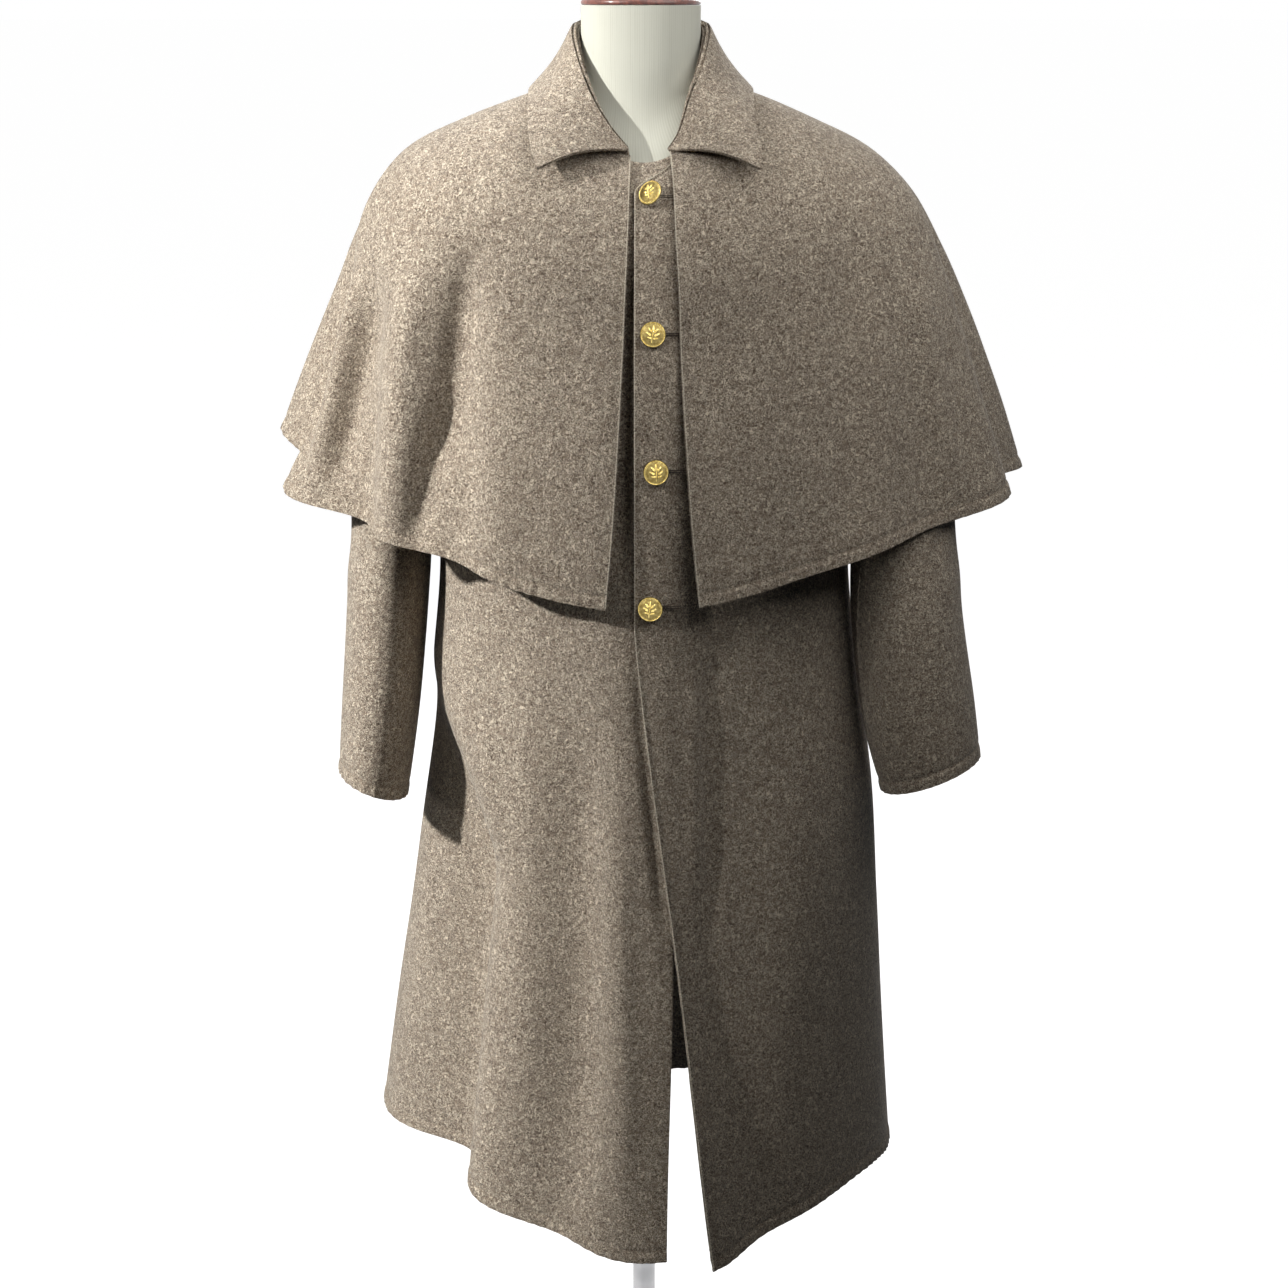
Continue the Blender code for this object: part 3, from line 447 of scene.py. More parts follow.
form.data.set_sharp_from_angle(angle=math.radians(SHARP_OVER))
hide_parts("dress_form")

# Coat: two fronts and two backs
# Thick napped wool in cream and taupe, with shade painted dark brown between its fibres, cut in
# four panels and lapped left over right.
# Each is a grid over the sections, creased, hemmed, then given its wall.
SHOULDER_TIP, UNDERARM, HEM = 3.0, 6.0, 13.0
SEAM_GAP, SEAM_OPEN = 0.3 * MM, 0.04 * MM
LAP_STEP = CLOTH + 1.0 * MM
# Soft folds: side, the section where each starts and over how many it grows, its angle at first
# and in the end, its width before and behind, height, share at the last section, and lift.
SKIRT_FOLDS = (
    ("right", 1.5, 4.0, 32.0, 32.0, 13.0, 22.0, -0.018, 1.0, -0.004),
    ("left", 1.5, 4.0, 25.0, 25.0, 10.0, 24.0, -0.019, 1.0, -0.004),
    ("right", 9.0, 4.0, 38.0, 38.0, 16.0, 16.0, 0.0, 1.0, -0.012),
    ("left", 9.0, 4.0, 38.0, 38.0, 16.0, 16.0, 0.0, 1.0, -0.008),
    ("right", 8.8, 1.8, 84.0, 62.0, 8.5, 12.0, -0.054, 1.2, 0.0),
    ("right", 9.2, 3.0, 50.0, 47.0, 9.0, 7.0, 0.008, 1.0, 0.0),
    ("right", 9.0, 4.0, 25.0, 23.0, 6.0, 7.0, -0.008, 1.0, 0.0),
    ("right", 8.5, 4.0, 124.0, 124.0, 12.0, 12.0, 0.014, 1.0, 0.0),
    ("right", 8.5, 4.0, 144.0, 146.0, 10.0, 10.0, -0.020, 1.0, 0.0),
    ("right", 8.5, 4.0, 168.0, 168.0, 11.0, 11.0, 0.014, 1.0, 0.0),
    ("left", 9.0, 4.0, 60.0, 62.0, 13.0, 14.0, -0.014, 1.0, 0.0),
    ("left", 8.5, 4.0, 106.0, 108.0, 12.0, 12.0, 0.010, 1.0, 0.0),
    ("left", 8.5, 4.0, 132.0, 131.0, 11.0, 11.0, -0.020, 1.0, 0.0),
    ("left", 8.5, 4.0, 157.0, 155.0, 10.0, 10.0, 0.016, 1.0, 0.0),
    ("left", 11.0, 2.0, 95.0, 95.0, 12.0, 20.0, 0.0, 1.0, -0.020),
)
LEFT_EDGE, LEFT_EDGE_AT_NECK, LEFT_EDGE_AT_HEM = -9.5 * MM, 26 * MM, 77 * MM
LEFT_EDGE_SWINGS_BELOW, LEFT_EDGE_CURVE = 0.98, 1.15
NECK_CORNER_FROM, NECK_CORNER_RISE = 1.386, 0.026
RIGHT_EDGE, RIGHT_EDGE_AT_HEM, RIGHT_EDGE_TURNS_BELOW = 29 * MM, 23 * MM, 0.66
LAP_ENDS, LAP_FADE = 36 * MM, 60 * MM
CORNER_FLARE, CORNER_REACH, CORNER_DROP, CORNER_FROM = 26 * MM, 34 * MM, 0.35, 10.5
HEM_HEIGHT, SIDE_SEAM, ARMHOLE_HALF_ANGLE = 0.336, 94.0, 18.0
PANEL_COLUMNS, SHOULDER_ROWS, ARMHOLE_ROWS, SKIRT_ROWS, HEM_ROWS = 96, 34, 50, 92, 12
HEM_TURNED, HEM_LIFT, HEM_SECTIONS = 12 * MM, 0.5 * MM, 0.16
EDGE_TURNED, EDGE_LIFT = 4.5 * MM, 1.3 * MM
SEWN_DEPTH, SEWN_HALF_WIDTH = 1.0 * MM, 0.19 * HEM_TURNED
PUCKER_PITCH, PUCKER_HEIGHT = 13 * MM, 0.8 * MM
# How far the puckers' pitch wanders, over what length of the edge, and from what phase.
PUCKER_WANDERS = ((3.0 * MM, 0.041, 0.0), (2.0 * MM, 0.017, 1.0))
CUT_EDGE_ROUNDING, CUT_EDGE_ANGLE = 0.4, 55.0
# Creases as seen from in front, or from behind: the two ends as (x, z), how far the middle bows
# to the side, half the width, and the height, which is negative for a trough.
FRONT_CREASES = (
    (0.002, 0.985, 0.070, 0.905, 0.006, 0.007, -0.0018),
    (0.012, 0.985, 0.085, 0.945, 0.004, 0.007, 0.0014),
    (0.050, 0.985, 0.054, 0.690, 0.003, 0.006, 0.0030),
    (0.064, 0.960, 0.069, 0.660, 0.003, 0.007, -0.0024),
    (-0.060, 0.950, -0.064, 0.350, -0.003, 0.016, -0.0110),
    (-0.024, 0.860, -0.016, 0.370, 0.003, 0.010, 0.0055),
    (-0.112, 0.960, -0.120, 0.420, 0.004, 0.016, 0.0040),
    (-0.158, 0.880, -0.135, 0.735, 0.006, 0.009, 0.0045),
    (0.105, 0.930, 0.125, 0.520, 0.006, 0.018, -0.0026),
    (0.165, 0.900, 0.172, 0.560, 0.004, 0.016, 0.0022),
)
# The right front sinks beside the lap, so that the left front's edge stands clear of it, and
# where a fold of the cape presses on it.
RIGHT_FRONT_CREASES = FRONT_CREASES + (
    (-0.016, 1.345, -0.022, 1.010, 0.0, 0.0080, -0.0120),
    (-0.013, 0.985, 0.024, 0.640, 0.0, 0.0050, -0.0055),
    (-0.150, 1.360, -0.178, 1.200, 0.0, 0.0160, -0.0090),
)
BACK_CREASES = (
    (-0.060, 1.080, -0.075, 0.860, 0.006, 0.014, -0.0028),
    (0.070, 1.060, 0.082, 0.840, -0.004, 0.013, -0.0024),
    (-0.020, 0.900, -0.026, 0.480, 0.004, 0.015, 0.0030),
    (0.110, 0.860, 0.140, 0.460, 0.006, 0.016, -0.0032),
    (-0.140, 0.870, -0.170, 0.470, -0.006, 0.015, -0.0030),
    (0.010, 1.240, -0.120, 1.300, 0.008, 0.010, 0.0016),
    (0.020, 1.210, 0.130, 1.290, -0.008, 0.010, 0.0014),
)
WOOL_TAUPE = (0.245, 0.192, 0.143, 1.0)
WOOL_CREAM = (0.74, 0.650, 0.520, 1.0)
# Dark brown, painted as shade in the gaps between the wool's fibres.
WOOL_GAP_SHADE = (0.085, 0.060, 0.044, 1.0)
WOOL_GREY = (0.155, 0.122, 0.100, 1.0)
FIBRE_CURL, SECOND_FIBRE_CURL, GAP_SIZE = 4 * MM, 4.9 * MM, 2.7 * MM
CLOUD_SIZE, FUZZ_SIZE, NAP_HEIGHT = 30 * MM, 1 * MM, 0.6 * MM


def heathered_wool():
    """Napped melton: cream fibres curl over a taupe ground, and the gaps between them, where the
    nap dips, are painted dark brown as shade. A fibre is the line where a twisted noise crosses its
    middle value; slow noise clouds the mixture."""
    recipe = Recipe(
        "heathered wool", roughness=0.95, specular_ior_level=0.12, sheen_weight=0.22,
        sheen_roughness=0.45,
    )
    place = recipe.place()
    lower = recipe.moved(place, shift=(1.7, 0.4, 2.0))
    upper = recipe.moved(place, shift=(4.1, 3.3, 5.0))
    curl = recipe.noise(place, FIBRE_CURL, 1.0, 0.5, 1.4)
    strand = (curl - 0.5).size().between(0.065, 0.018)
    curl = recipe.noise(upper, SECOND_FIBRE_CURL, 1.0, 0.5, 1.8)
    second = (curl - 0.5).size().between(0.055, 0.008)
    # Painted shade: the gaps, which the bump sinks, are coloured dark brown.
    gap_shade = recipe.noise(lower, GAP_SIZE, 2.0, 0.55, 0.8).between(0.50, 0.64)
    weft = recipe.noise(recipe.moved(place, (90.0, 90.0, 330.0)), 1.0, 2.0).between(0.35, 0.75)
    warp = recipe.noise(recipe.moved(place, (330.0, 330.0, 90.0)), 1.0, 2.0).between(0.35, 0.75)
    cloud = recipe.noise(place, CLOUD_SIZE, 3.0, 0.6)
    ground = recipe.blend(0.2 + 0.5 * weft, WOOL_TAUPE, WOOL_GREY)
    ground = recipe.blend(gap_shade * 0.85, ground, WOOL_GAP_SHADE)
    cream = strand * (0.45 + 0.55 * warp) + second * 0.45
    cream = cream * (0.86 + 0.28 * cloud)
    recipe.shine(base_color=recipe.blend(cream, ground, WOOL_CREAM))
    fuzz = recipe.noise(place, FUZZ_SIZE, 2.0)
    recipe.raised(strand * 0.7 - gap_shade * 0.8 + fuzz * 0.4 + cloud * 0.4, NAP_HEIGHT, 0.85)
    return recipe.material


def body_point(angle, section):
    return garment_point(BODY_SECTIONS, SKIRT_FOLDS, angle, section)


def lap_share(point):
    """1 where the left front lies over the right one, fading to 0 away from the lap."""
    return 1.0 - smooth((point[..., 0] - LAP_ENDS) / LAP_FADE)


def left_edge(height):
    """How far to the wearer's left the left front's edge is. Its neck corner is cut back, and
    below the last button it swings away as a power of how far down it is."""
    top = smooth((height - NECK_CORNER_FROM) / NECK_CORNER_RISE)
    fall = (LEFT_EDGE_SWINGS_BELOW - height) / (LEFT_EDGE_SWINGS_BELOW - HEM_HEIGHT)
    swing = (LEFT_EDGE_AT_HEM - LEFT_EDGE) * np.clip(fall, 0.0, None) ** LEFT_EDGE_CURVE
    return LEFT_EDGE + (LEFT_EDGE_AT_NECK - LEFT_EDGE) * top + swing


def right_edge(height):
    low = smooth((RIGHT_EDGE_TURNS_BELOW - height) / (RIGHT_EDGE_TURNS_BELOW - HEM_HEIGHT))
    return RIGHT_EDGE + (RIGHT_EDGE_AT_HEM - RIGHT_EDGE) * low


def left_front_point(angle, section):
    """The left front lies over the right one where they lap, and its low corner flares."""
    flat = body_point(angle, section)
    low = smooth((section - CORNER_FROM) / (HEM - CORNER_FROM))
    from_edge = np.clip(flat[..., 0] - left_edge(flat[..., 2]), 0.0, None)
    flare = CORNER_FLARE * low * np.exp(-((from_edge / CORNER_REACH) ** 2))
    moved = (LAP_STEP * lap_share(flat))[..., None] * normals_of(body_point, angle, section)
    return flat + moved + np.stack([0.0 * flare, -flare, -CORNER_DROP * flare], axis=-1)


def edge_angle(rows, section, offset):
    """The angle at which an offset to the side lies on a section's front."""
    return np.degrees(np.arctan2(offset, column_of(rows, SECTION_COLUMNS, "front", section)))


def edge_on(surface, section, offset_at):
    """The angles of an edge that is given by its offset to the side at each height."""
    height = column_of(BODY_SECTIONS, SECTION_COLUMNS, "z_front", section)
    angle = edge_angle(BODY_SECTIONS, section, offset_at(height))
    for _ in range(5):
        point = surface(angle, section)
        angle = np.degrees(np.arctan2(offset_at(point[..., 2]), -point[..., 1]))
    return angle


def armhole_half_angle(section):
    """Half the armhole's width, as an angle: none at the shoulder tip and at the underarm."""
    inside = np.clip((section - SHOULDER_TIP) / (UNDERARM - SHOULDER_TIP), 0.0, 1.0)
    return ARMHOLE_HALF_ANGLE * np.sin(np.pi * inside) ** 0.62


def grid_normals(points):
    """Unit normals of a grid of points, from its steps along and down."""
    return unit(np.cross(np.gradient(points, axis=0), np.gradient(points, axis=1)))


def moved_out(points, height):
    """A grid moved along its own normals, by a height for each point."""
    return points + height[..., None] * grid_normals(points)


def crease_height(across, up, creases):
    """Sum of soft creases at places (across, up). Each is a bell exp(-(d/w)^2/2) about a bowed
    line, and fades out over a third of its length at both ends."""
    total = np.zeros_like(across)
    for x_from, z_from, x_to, z_to, bow, width, height in creases:
        run = np.array([x_to - x_from, z_to - z_from])
        length = np.linalg.norm(run)
        along = ((across - x_from) * run[0] + (up - z_from) * run[1]) / length**2
        aside = ((across - x_from) * run[1] - (up - z_from) * run[0]) / length
        inside = np.clip(along, 0.0, 1.0)
        aside = aside - bow * 4 * inside * (1 - inside)
        ends = smooth(along / 0.34 + 0.1) * smooth((1.0 - along) / 0.34 + 0.1)
        total += height * ends * np.exp(-0.5 * (aside / width) ** 2)
    return total


def cloth_places(points):
    """Each grid point's place on the flat cloth: its length along the row and down the column."""
    along = np.linalg.norm(np.diff(points, axis=1), axis=2)
    down = np.linalg.norm(np.diff(points, axis=0), axis=2)
    across = np.pad(np.cumsum(along, axis=1), ((0, 0), (1, 0)))
    fallen = np.pad(np.cumsum(down, axis=0), ((1, 0), (0, 0)))
    middle = points.shape[1] // 2
    return np.stack([across - across[:, middle:middle + 1], -fallen], axis=-1)


def near_edge(points):
    """A grid turned so that its first column lies along the bottom. Done twice, it turns it by
    half a turn, and far_edge undoes it."""
    return np.swapaxes(points, 0, 1)[::-1]


def far_edge(points):
    """A grid turned so that its last column lies along the bottom. near_edge undoes it."""
    return np.swapaxes(points, 0, 1)[:, ::-1]


def puckered(points, turned_up, lift, wave_height):
    """The last row's edge, turned up and sewn: the sewing pulls in a shallow line, and the turned
    cloth below it waves, as a sine along the edge whose pitch wanders."""
    places = cloth_places(points)
    above_edge = places[..., 1] - places[-1:, :, 1]
    along = places[-1:, :, 0]
    sewn = np.exp(-(((above_edge - turned_up) / SEWN_HALF_WIDTH) ** 2))
    turned = smooth(1.35 - above_edge / turned_up)
    wander = along + sum(far * np.sin(along / over + phase) for far, over, phase in PUCKER_WANDERS)
    wave = np.sin(2 * np.pi * wander / PUCKER_PITCH) * (0.6 + 0.4 * np.sin(along / 0.063))
    wave = wave + 0.35 * np.sin(2 * np.pi * along / (0.43 * PUCKER_PITCH) + 2.0 * wave)
    height = turned * (lift + wave_height * wave) - SEWN_DEPTH * sewn * turned_up / HEM_TURNED
    return moved_out(points, height)


def hemmed(points):
    return puckered(points, HEM_TURNED, HEM_LIFT, PUCKER_HEIGHT)


def edged(points):
    """The same on a front edge: a narrow turning that stands up a little from the cloth."""
    return puckered(points, EDGE_TURNED, EDGE_LIFT, 0.5 * PUCKER_HEIGHT)


def make_cloth(name, points, node, closed=False, thickness=CLOTH):
    """A sheet with a wall: the grid is its outer face, Solidify adds the wall inwards and Bevel
    rounds the cut edges. A closed sheet is a tube, whose last column joins its first."""
    rows, columns = points.shape[:2]
    row, column, quads = grid_quads(rows, columns, closed)
    piece = make_piece(name, points.reshape(-1, 3), quads.tolist(), WOOL, "coat_wool")
    mapped = np.concatenate([points, points[:, :1]], axis=1) if closed else points
    set_cloth_places(piece, cloth_places(mapped)[row, column])
    wall = piece.modifiers.new("wall", "SOLIDIFY")
    wall.thickness = thickness
    wall.offset = -1.0
    rounding = piece.modifiers.new("rounded edges", "BEVEL")
    rounding.width = CUT_EDGE_ROUNDING * thickness
    rounding.segments = 2
    rounding.limit_method = "ANGLE"
    rounding.angle_limit = math.radians(CUT_EDGE_ANGLE)
    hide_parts(node)
    return piece


def eased(count, tightened):
    """Shares from 0 to 1 that lie closer together near both ends."""
    even = np.linspace(0.0, 1.0, count)
    return (1 - tightened) * even + tightened * (0.5 - 0.5 * np.cos(np.pi * even))


def armhole_sections():
    """Section numbers of the rows beside the armhole, from the shoulder tip to the underarm."""
    return SHOULDER_TIP + (UNDERARM - SHOULDER_TIP) * eased(ARMHOLE_ROWS, 0.7)


def body_rows():
    """Section numbers of the panels' rows: shoulder, armhole, skirt, then the turned hem."""
    return np.concatenate([
        np.linspace(0.0, SHOULDER_TIP, SHOULDER_ROWS)[:-1],
        armhole_sections()[:-1],
        np.linspace(UNDERARM, HEM - HEM_SECTIONS, SKIRT_ROWS)[:-1],
        np.linspace(HEM - HEM_SECTIONS, HEM, HEM_ROWS),
    ])


def panel(node, surface, first, last, creases):
    """One panel between two edges given as angles row by row, creased and hemmed."""
    share = eased(PANEL_COLUMNS, 0.45)
    angles = first[:, None] + (last - first)[:, None] * share[None, :]
    sections = np.repeat(body_rows()[:, None], PANEL_COLUMNS, axis=1)
    points = surface(angles, sections)
    points = hemmed(moved_out(points, crease_height(points[..., 0], points[..., 2], creases)))
    if node == "front_left":
        points = far_edge(edged(near_edge(points)))
    return make_cloth(f"coat_{node}", points, node), points


WOOL = heathered_wool()
rows = body_rows()
hole = armhole_half_angle(rows)
half_gap = np.degrees(SEAM_OPEN / 2 / column_of(BODY_SECTIONS, SECTION_COLUMNS, "left", rows))
front_end, back_end = SIDE_SEAM - hole - half_gap, SIDE_SEAM + hole + half_gap
centre_back = 180.0 - half_gap
over_edge = edge_on(left_front_point, rows, left_edge)
under_edge = edge_on(body_point, rows, right_edge)
front_left, front_left_points = panel(
    "front_left", left_front_point, over_edge, front_end, FRONT_CREASES
)
front_right, front_right_points = panel(
    "front_right", body_point, -front_end, under_edge, RIGHT_FRONT_CREASES
)
back_left, back_left_points = panel("back_left", body_point, back_end, centre_back, BACK_CREASES)
back_right, back_right_points = panel(
    "back_right", body_point, -centre_back, -back_end, BACK_CREASES
)

# Sleeves
# Each is one tube of the same wool, set into the armhole with its head eased in, and hemmed at
# the cuff. Rings run from the armhole's own edge to the cuff, bent forward at the elbow.
SLEEVE_COLUMNS = (
    "right_x", "right_y", "right_z", "right_across", "right_deep",
    "left_x", "left_y", "left_z", "left_across", "left_deep",
)
# Rings from the armhole to the cuff. The hidden top of the right sleeve is flattened, so that it
# stays clear of the cape's deep folds.
SLEEVE_SECTIONS = (
    ("armhole", -0.226, -0.001, 1.300, 0.060, 0.076, 0.226, -0.001, 1.300, 0.060, 0.076),
    ("sleeve head", -0.250, -0.002, 1.255, 0.050, 0.063, 0.251, -0.004, 1.255, 0.050, 0.076),
    ("upper arm", -0.258, -0.003, 1.195, 0.0395, 0.059, 0.262, -0.010, 1.195, 0.043, 0.076),
    ("biceps", -0.2555, -0.006, 1.130, 0.0405, 0.067, 0.2605, -0.022, 1.130, 0.046, 0.075),
    ("above elbow", -0.2535, -0.012, 1.050, 0.040, 0.075, 0.258, -0.042, 1.050, 0.051, 0.072),
    ("elbow", -0.259, -0.020, 0.970, 0.0405, 0.073, 0.2610, -0.062, 0.970, 0.055, 0.070),
    ("forearm", -0.2665, -0.030, 0.880, 0.039, 0.071, 0.2735, -0.072, 0.880, 0.056, 0.067),
    ("cuff", -0.2765, -0.038, 0.788, 0.0345, 0.068, 0.2880, -0.078, 0.810, 0.0500, 0.063),
)
SLEEVE_BLEND, CUFF_SLANTS_FROM = 0.30, 70 / 13
SLEEVE_RINGS, CUFF_RINGS, CUFF_SECTIONS = 110, 14, 0.2
CUFF_SLANTS = {"right": 11 * MM, "left": 9 * MM}
ARMHOLE_SEAT, ARMHOLE_TOP_SEAT = 1.0 * MM, 1.5 * MM
# Creases on the flat sleeve: places as (along the ring from the outer side, up from the armhole).
SLEEVE_CREASES = (
    (-0.085, -0.300, 0.010, -0.335, 0.004, 0.009, -0.0026),
    (-0.095, -0.345, 0.005, -0.360, -0.004, 0.008, -0.0022),
    (-0.075, -0.262, 0.000, -0.300, 0.003, 0.008, -0.0018),
    (0.150, -0.310, 0.060, -0.350, 0.004, 0.010, 0.0022),
    (-0.060, -0.390, 0.040, -0.470, 0.006, 0.012, 0.0014),
    (0.020, -0.180, 0.030, -0.430, 0.006, 0.012, -0.0016),
)


def armhole_loop(sign):
    """Points round an armhole, from the shoulder tip down the front and up the back."""
    inside = armhole_sections()
    half = armhole_half_angle(inside)
    angles = np.concatenate([SIDE_SEAM - half, (SIDE_SEAM + half)[-2:0:-1]])
    sections = np.concatenate([inside, inside[-2:0:-1]])
    points = body_point(sign * angles, sections)
    return points, normals_of(body_point, sign * angles, sections)


def sleeve_points(side, sign):
    """Rings of a sleeve. The first stands on the body round the armhole, the others are ovals
    axis + across cos a - deep sin a square to the arm, and the first stretch blends the two."""
    loop, loop_normals = armhole_loop(sign)
    middle = loop.mean(axis=0)
    high = smooth((loop[:, 2] - middle[2]) / (loop[0, 2] - middle[2]))
    lifted = ARMHOLE_SEAT + (ARMHOLE_TOP_SEAT - ARMHOLE_SEAT) * high
    seat = loop + lifted[:, None] * loop_normals + (CLOTH + SEAM_GAP) * unit(loop - middle)
    around = 2 * np.pi * np.arange(len(loop)) / len(loop)
    last = len(SLEEVE_SECTIONS) - 1.0
    cuff_from = last - CUFF_SECTIONS
    places = np.concatenate([
        np.linspace(0.0, cuff_from, SLEEVE_RINGS)[:-1], np.linspace(cuff_from, last, CUFF_RINGS)
    ])
    x, y, z, wide, thick = (
        column_of(SLEEVE_SECTIONS, SLEEVE_COLUMNS, f"{side}_{name}", places)
        for name in ("x", "y", "z", "across", "deep")
    )
    axis = np.stack([x, y, z], axis=1)
    along = unit(np.gradient(axis, places, axis=0))
    deep = unit(np.array([0.0, 1.0, 0.0]) - along[:, 1:2] * along)
    across = sign * np.cross(along, deep)
    outside, ahead = np.cos(around), np.sin(around)
    rings = (
        axis[:, None]
        + across[:, None] * (wide[:, None] * outside)[..., None]
        - deep[:, None] * (thick[:, None] * ahead)[..., None]
    )
    low = smooth((places - CUFF_SLANTS_FROM) / (last - CUFF_SLANTS_FROM))
    rings[..., 2] += CUFF_SLANTS[side] * low[:, None] * outside
    share = smooth(places / last / SLEEVE_BLEND)[:, None, None]
    carried = seat[None] + (axis - axis[0])[:, None]
    rings = carried + (rings - carried) * share
    return rings[:, ::-1] if sign > 0 else rings


sleeve_rings = {}
for side, sign in (("right", -1.0), ("left", 1.0)):
    points = sleeve_points(side, sign)
    turned = np.roll(points, points.shape[1] // 2, axis=1)
    wrapped = np.concatenate([turned, turned[:, :1]], axis=1)
    flat = cloth_places(wrapped)
    height = crease_height(flat[..., 0] * sign, flat[..., 1], SLEEVE_CREASES)
    sleeve_rings[side] = hemmed(moved_out(wrapped, height))
    make_cloth(f"coat_sleeve_{side}", sleeve_rings[side][:, :-1], f"sleeve_{side}", closed=True)

# Collar
# One folded piece of the same wool, stiffened: a stand that rises from the neckline seam, a soft
# roll, and a fall with a point at each front end. Rows run up the stand and down the fall.
COLLAR_CLOTH, COLLAR_ROLL = 3.0 * MM, 3.2 * MM
COLLAR_COLUMNS = ("angle", "roll_x", "roll_y", "roll_z", "edge_x", "edge_y", "edge_z", "bulge")
COLLAR_STATIONS = (
    ("front end", 9.0, 0.0130, -0.0855, 1.4265, 0.0955, -0.1335, 1.4090, 0.010),
    ("above the point", 24.0, 0.0310, -0.0800, 1.4480, 0.1030, -0.1060, 1.4310, 0.006),
    ("side of the throat", 48.0, 0.0470, -0.0660, 1.4760, 0.1060, -0.0700, 1.4540, 0.002),
    ("shoulder front", 72.0, 0.0590, -0.0350, 1.5090, 0.1070, -0.0320, 1.4700, -0.003),
    ("shoulder", 96.0, 0.0640, 0.0020, 1.5330, 0.1060, 0.0120, 1.4780, -0.004),
    ("shoulder back", 122.0, 0.0580, 0.0380, 1.5400, 0.0930, 0.0560, 1.4860, -0.001),
    ("back", 150.0, 0.0340, 0.0610, 1.5440, 0.0560, 0.0870, 1.4890, 0.004),
    ("centre back", 180.0, 0.0000, 0.0690, 1.5450, 0.0000, 0.0970, 1.4900, 0.004),
)
COLLAR_LEFT_SHIFT, COLLAR_LEFT_SHIFT_FADES, NECK_DEPTH = 14 * MM, 2.2, 0.084
COLLAR_FINE, COLLAR_HALF = 70, 130


def collar_half(sign):
    """Half of the collar as rows of points: knots up the stand, over the roll and down the fall,
    then a smooth curve through them."""
    last = len(COLLAR_STATIONS) - 1.0
    places = last * eased(COLLAR_HALF, 0.5)
    read = {name: column_of(COLLAR_STATIONS, COLLAR_COLUMNS, name, places) for name in COLLAR_COLUMNS}
    shift = COLLAR_LEFT_SHIFT * (1.0 - smooth(places / COLLAR_LEFT_SHIFT_FADES)) * (sign > 0)
    angle = read["angle"] + np.degrees(shift / NECK_DEPTH)
    seam = body_point(sign * angle, np.zeros_like(angle))
    seam[:, 2] += 2.0 * SEAM_GAP
    seam[:, :2] *= (1.0 - 0.6 * COLLAR_CLOTH / np.linalg.norm(seam[:, :2], axis=1))[:, None]
    roll, edge = (
        np.stack([sign * (read[x] + shift) + CAP_MIDDLE, read[y], read[z]], axis=1)
        for x, y, z in (("roll_x", "roll_y", "roll_z"), ("edge_x", "edge_y", "edge_z"))
    )
    out = unit(roll * np.array([1.0, 1.0, 0.0]))
    up = np.array([0.0, 0.0, 1.0])
    inside = roll - COLLAR_ROLL * (out + up)
    top = roll - 0.3 * COLLAR_ROLL * up
    outside = roll + COLLAR_ROLL * (out - up)
    knots = [seam, seam + 0.5 * (inside - seam), inside, top, outside]
    for share in (0.25, 0.5, 0.75, 1.0):
        swell = (read["bulge"] * math.sin(math.pi * share))[:, None]
        knots.append(outside + share * (edge - outside) + swell * (out + up) * 0.7)
    return spline(np.stack(knots), (len(knots) - 1.0) * eased(COLLAR_FINE, 0.25))


collar_right, collar_left = collar_half(-1.0), collar_half(1.0)
collar_middle = np.concatenate([collar_right, collar_left[:, -2::-1]], axis=1)
collar_points = collar_middle + 0.5 * COLLAR_CLOTH * grid_normals(collar_middle)
collar = make_cloth("coat_collar", collar_points, "collar", thickness=COLLAR_CLOTH)

# Cape
# A wide half-round cape of the same wool, caught in the collar seam and open in front. It lies
# on the shoulders and falls in soft pleats over the arms, with a narrow sewn hem.
CAPE_EASE, CAPE_EASE_ENDS, CAPE_HEM = 4.9 * MM, 4.5, 9.0
CAPE_SECTIONS = BODY_SECTIONS[:3] + (
    ("shoulder tip", 0.226, 0.222, 0.149, 0.134, 1.310, 1.4185, 1.416, 1.400, 2.4, 1.8),
    ("upper arm", 0.2695, 0.2705, 0.162, 0.152, 1.262, 1.374, 1.374, 1.354, 2.4, 1.6),
    ("arm", 0.2935, 0.298, 0.172, 0.168, 1.210, 1.322, 1.322, 1.302, 2.35, 1.45),
    ("chest", 0.3115, 0.3205, 0.180, 0.182, 1.154, 1.264, 1.264, 1.245, 2.3, 1.35),
    ("elbow", 0.331, 0.340, 0.187, 0.195, 1.098, 1.206, 1.207, 1.188, 2.25, 1.3),
    ("lower", 0.3525, 0.3605, 0.192, 0.207, 1.048, 1.148, 1.149, 1.133, 2.2, 1.25),
    ("hem", 0.373, 0.378, 0.196, 0.217, 1.004, 1.096, 1.097, 1.084, 2.2, 1.2),
)
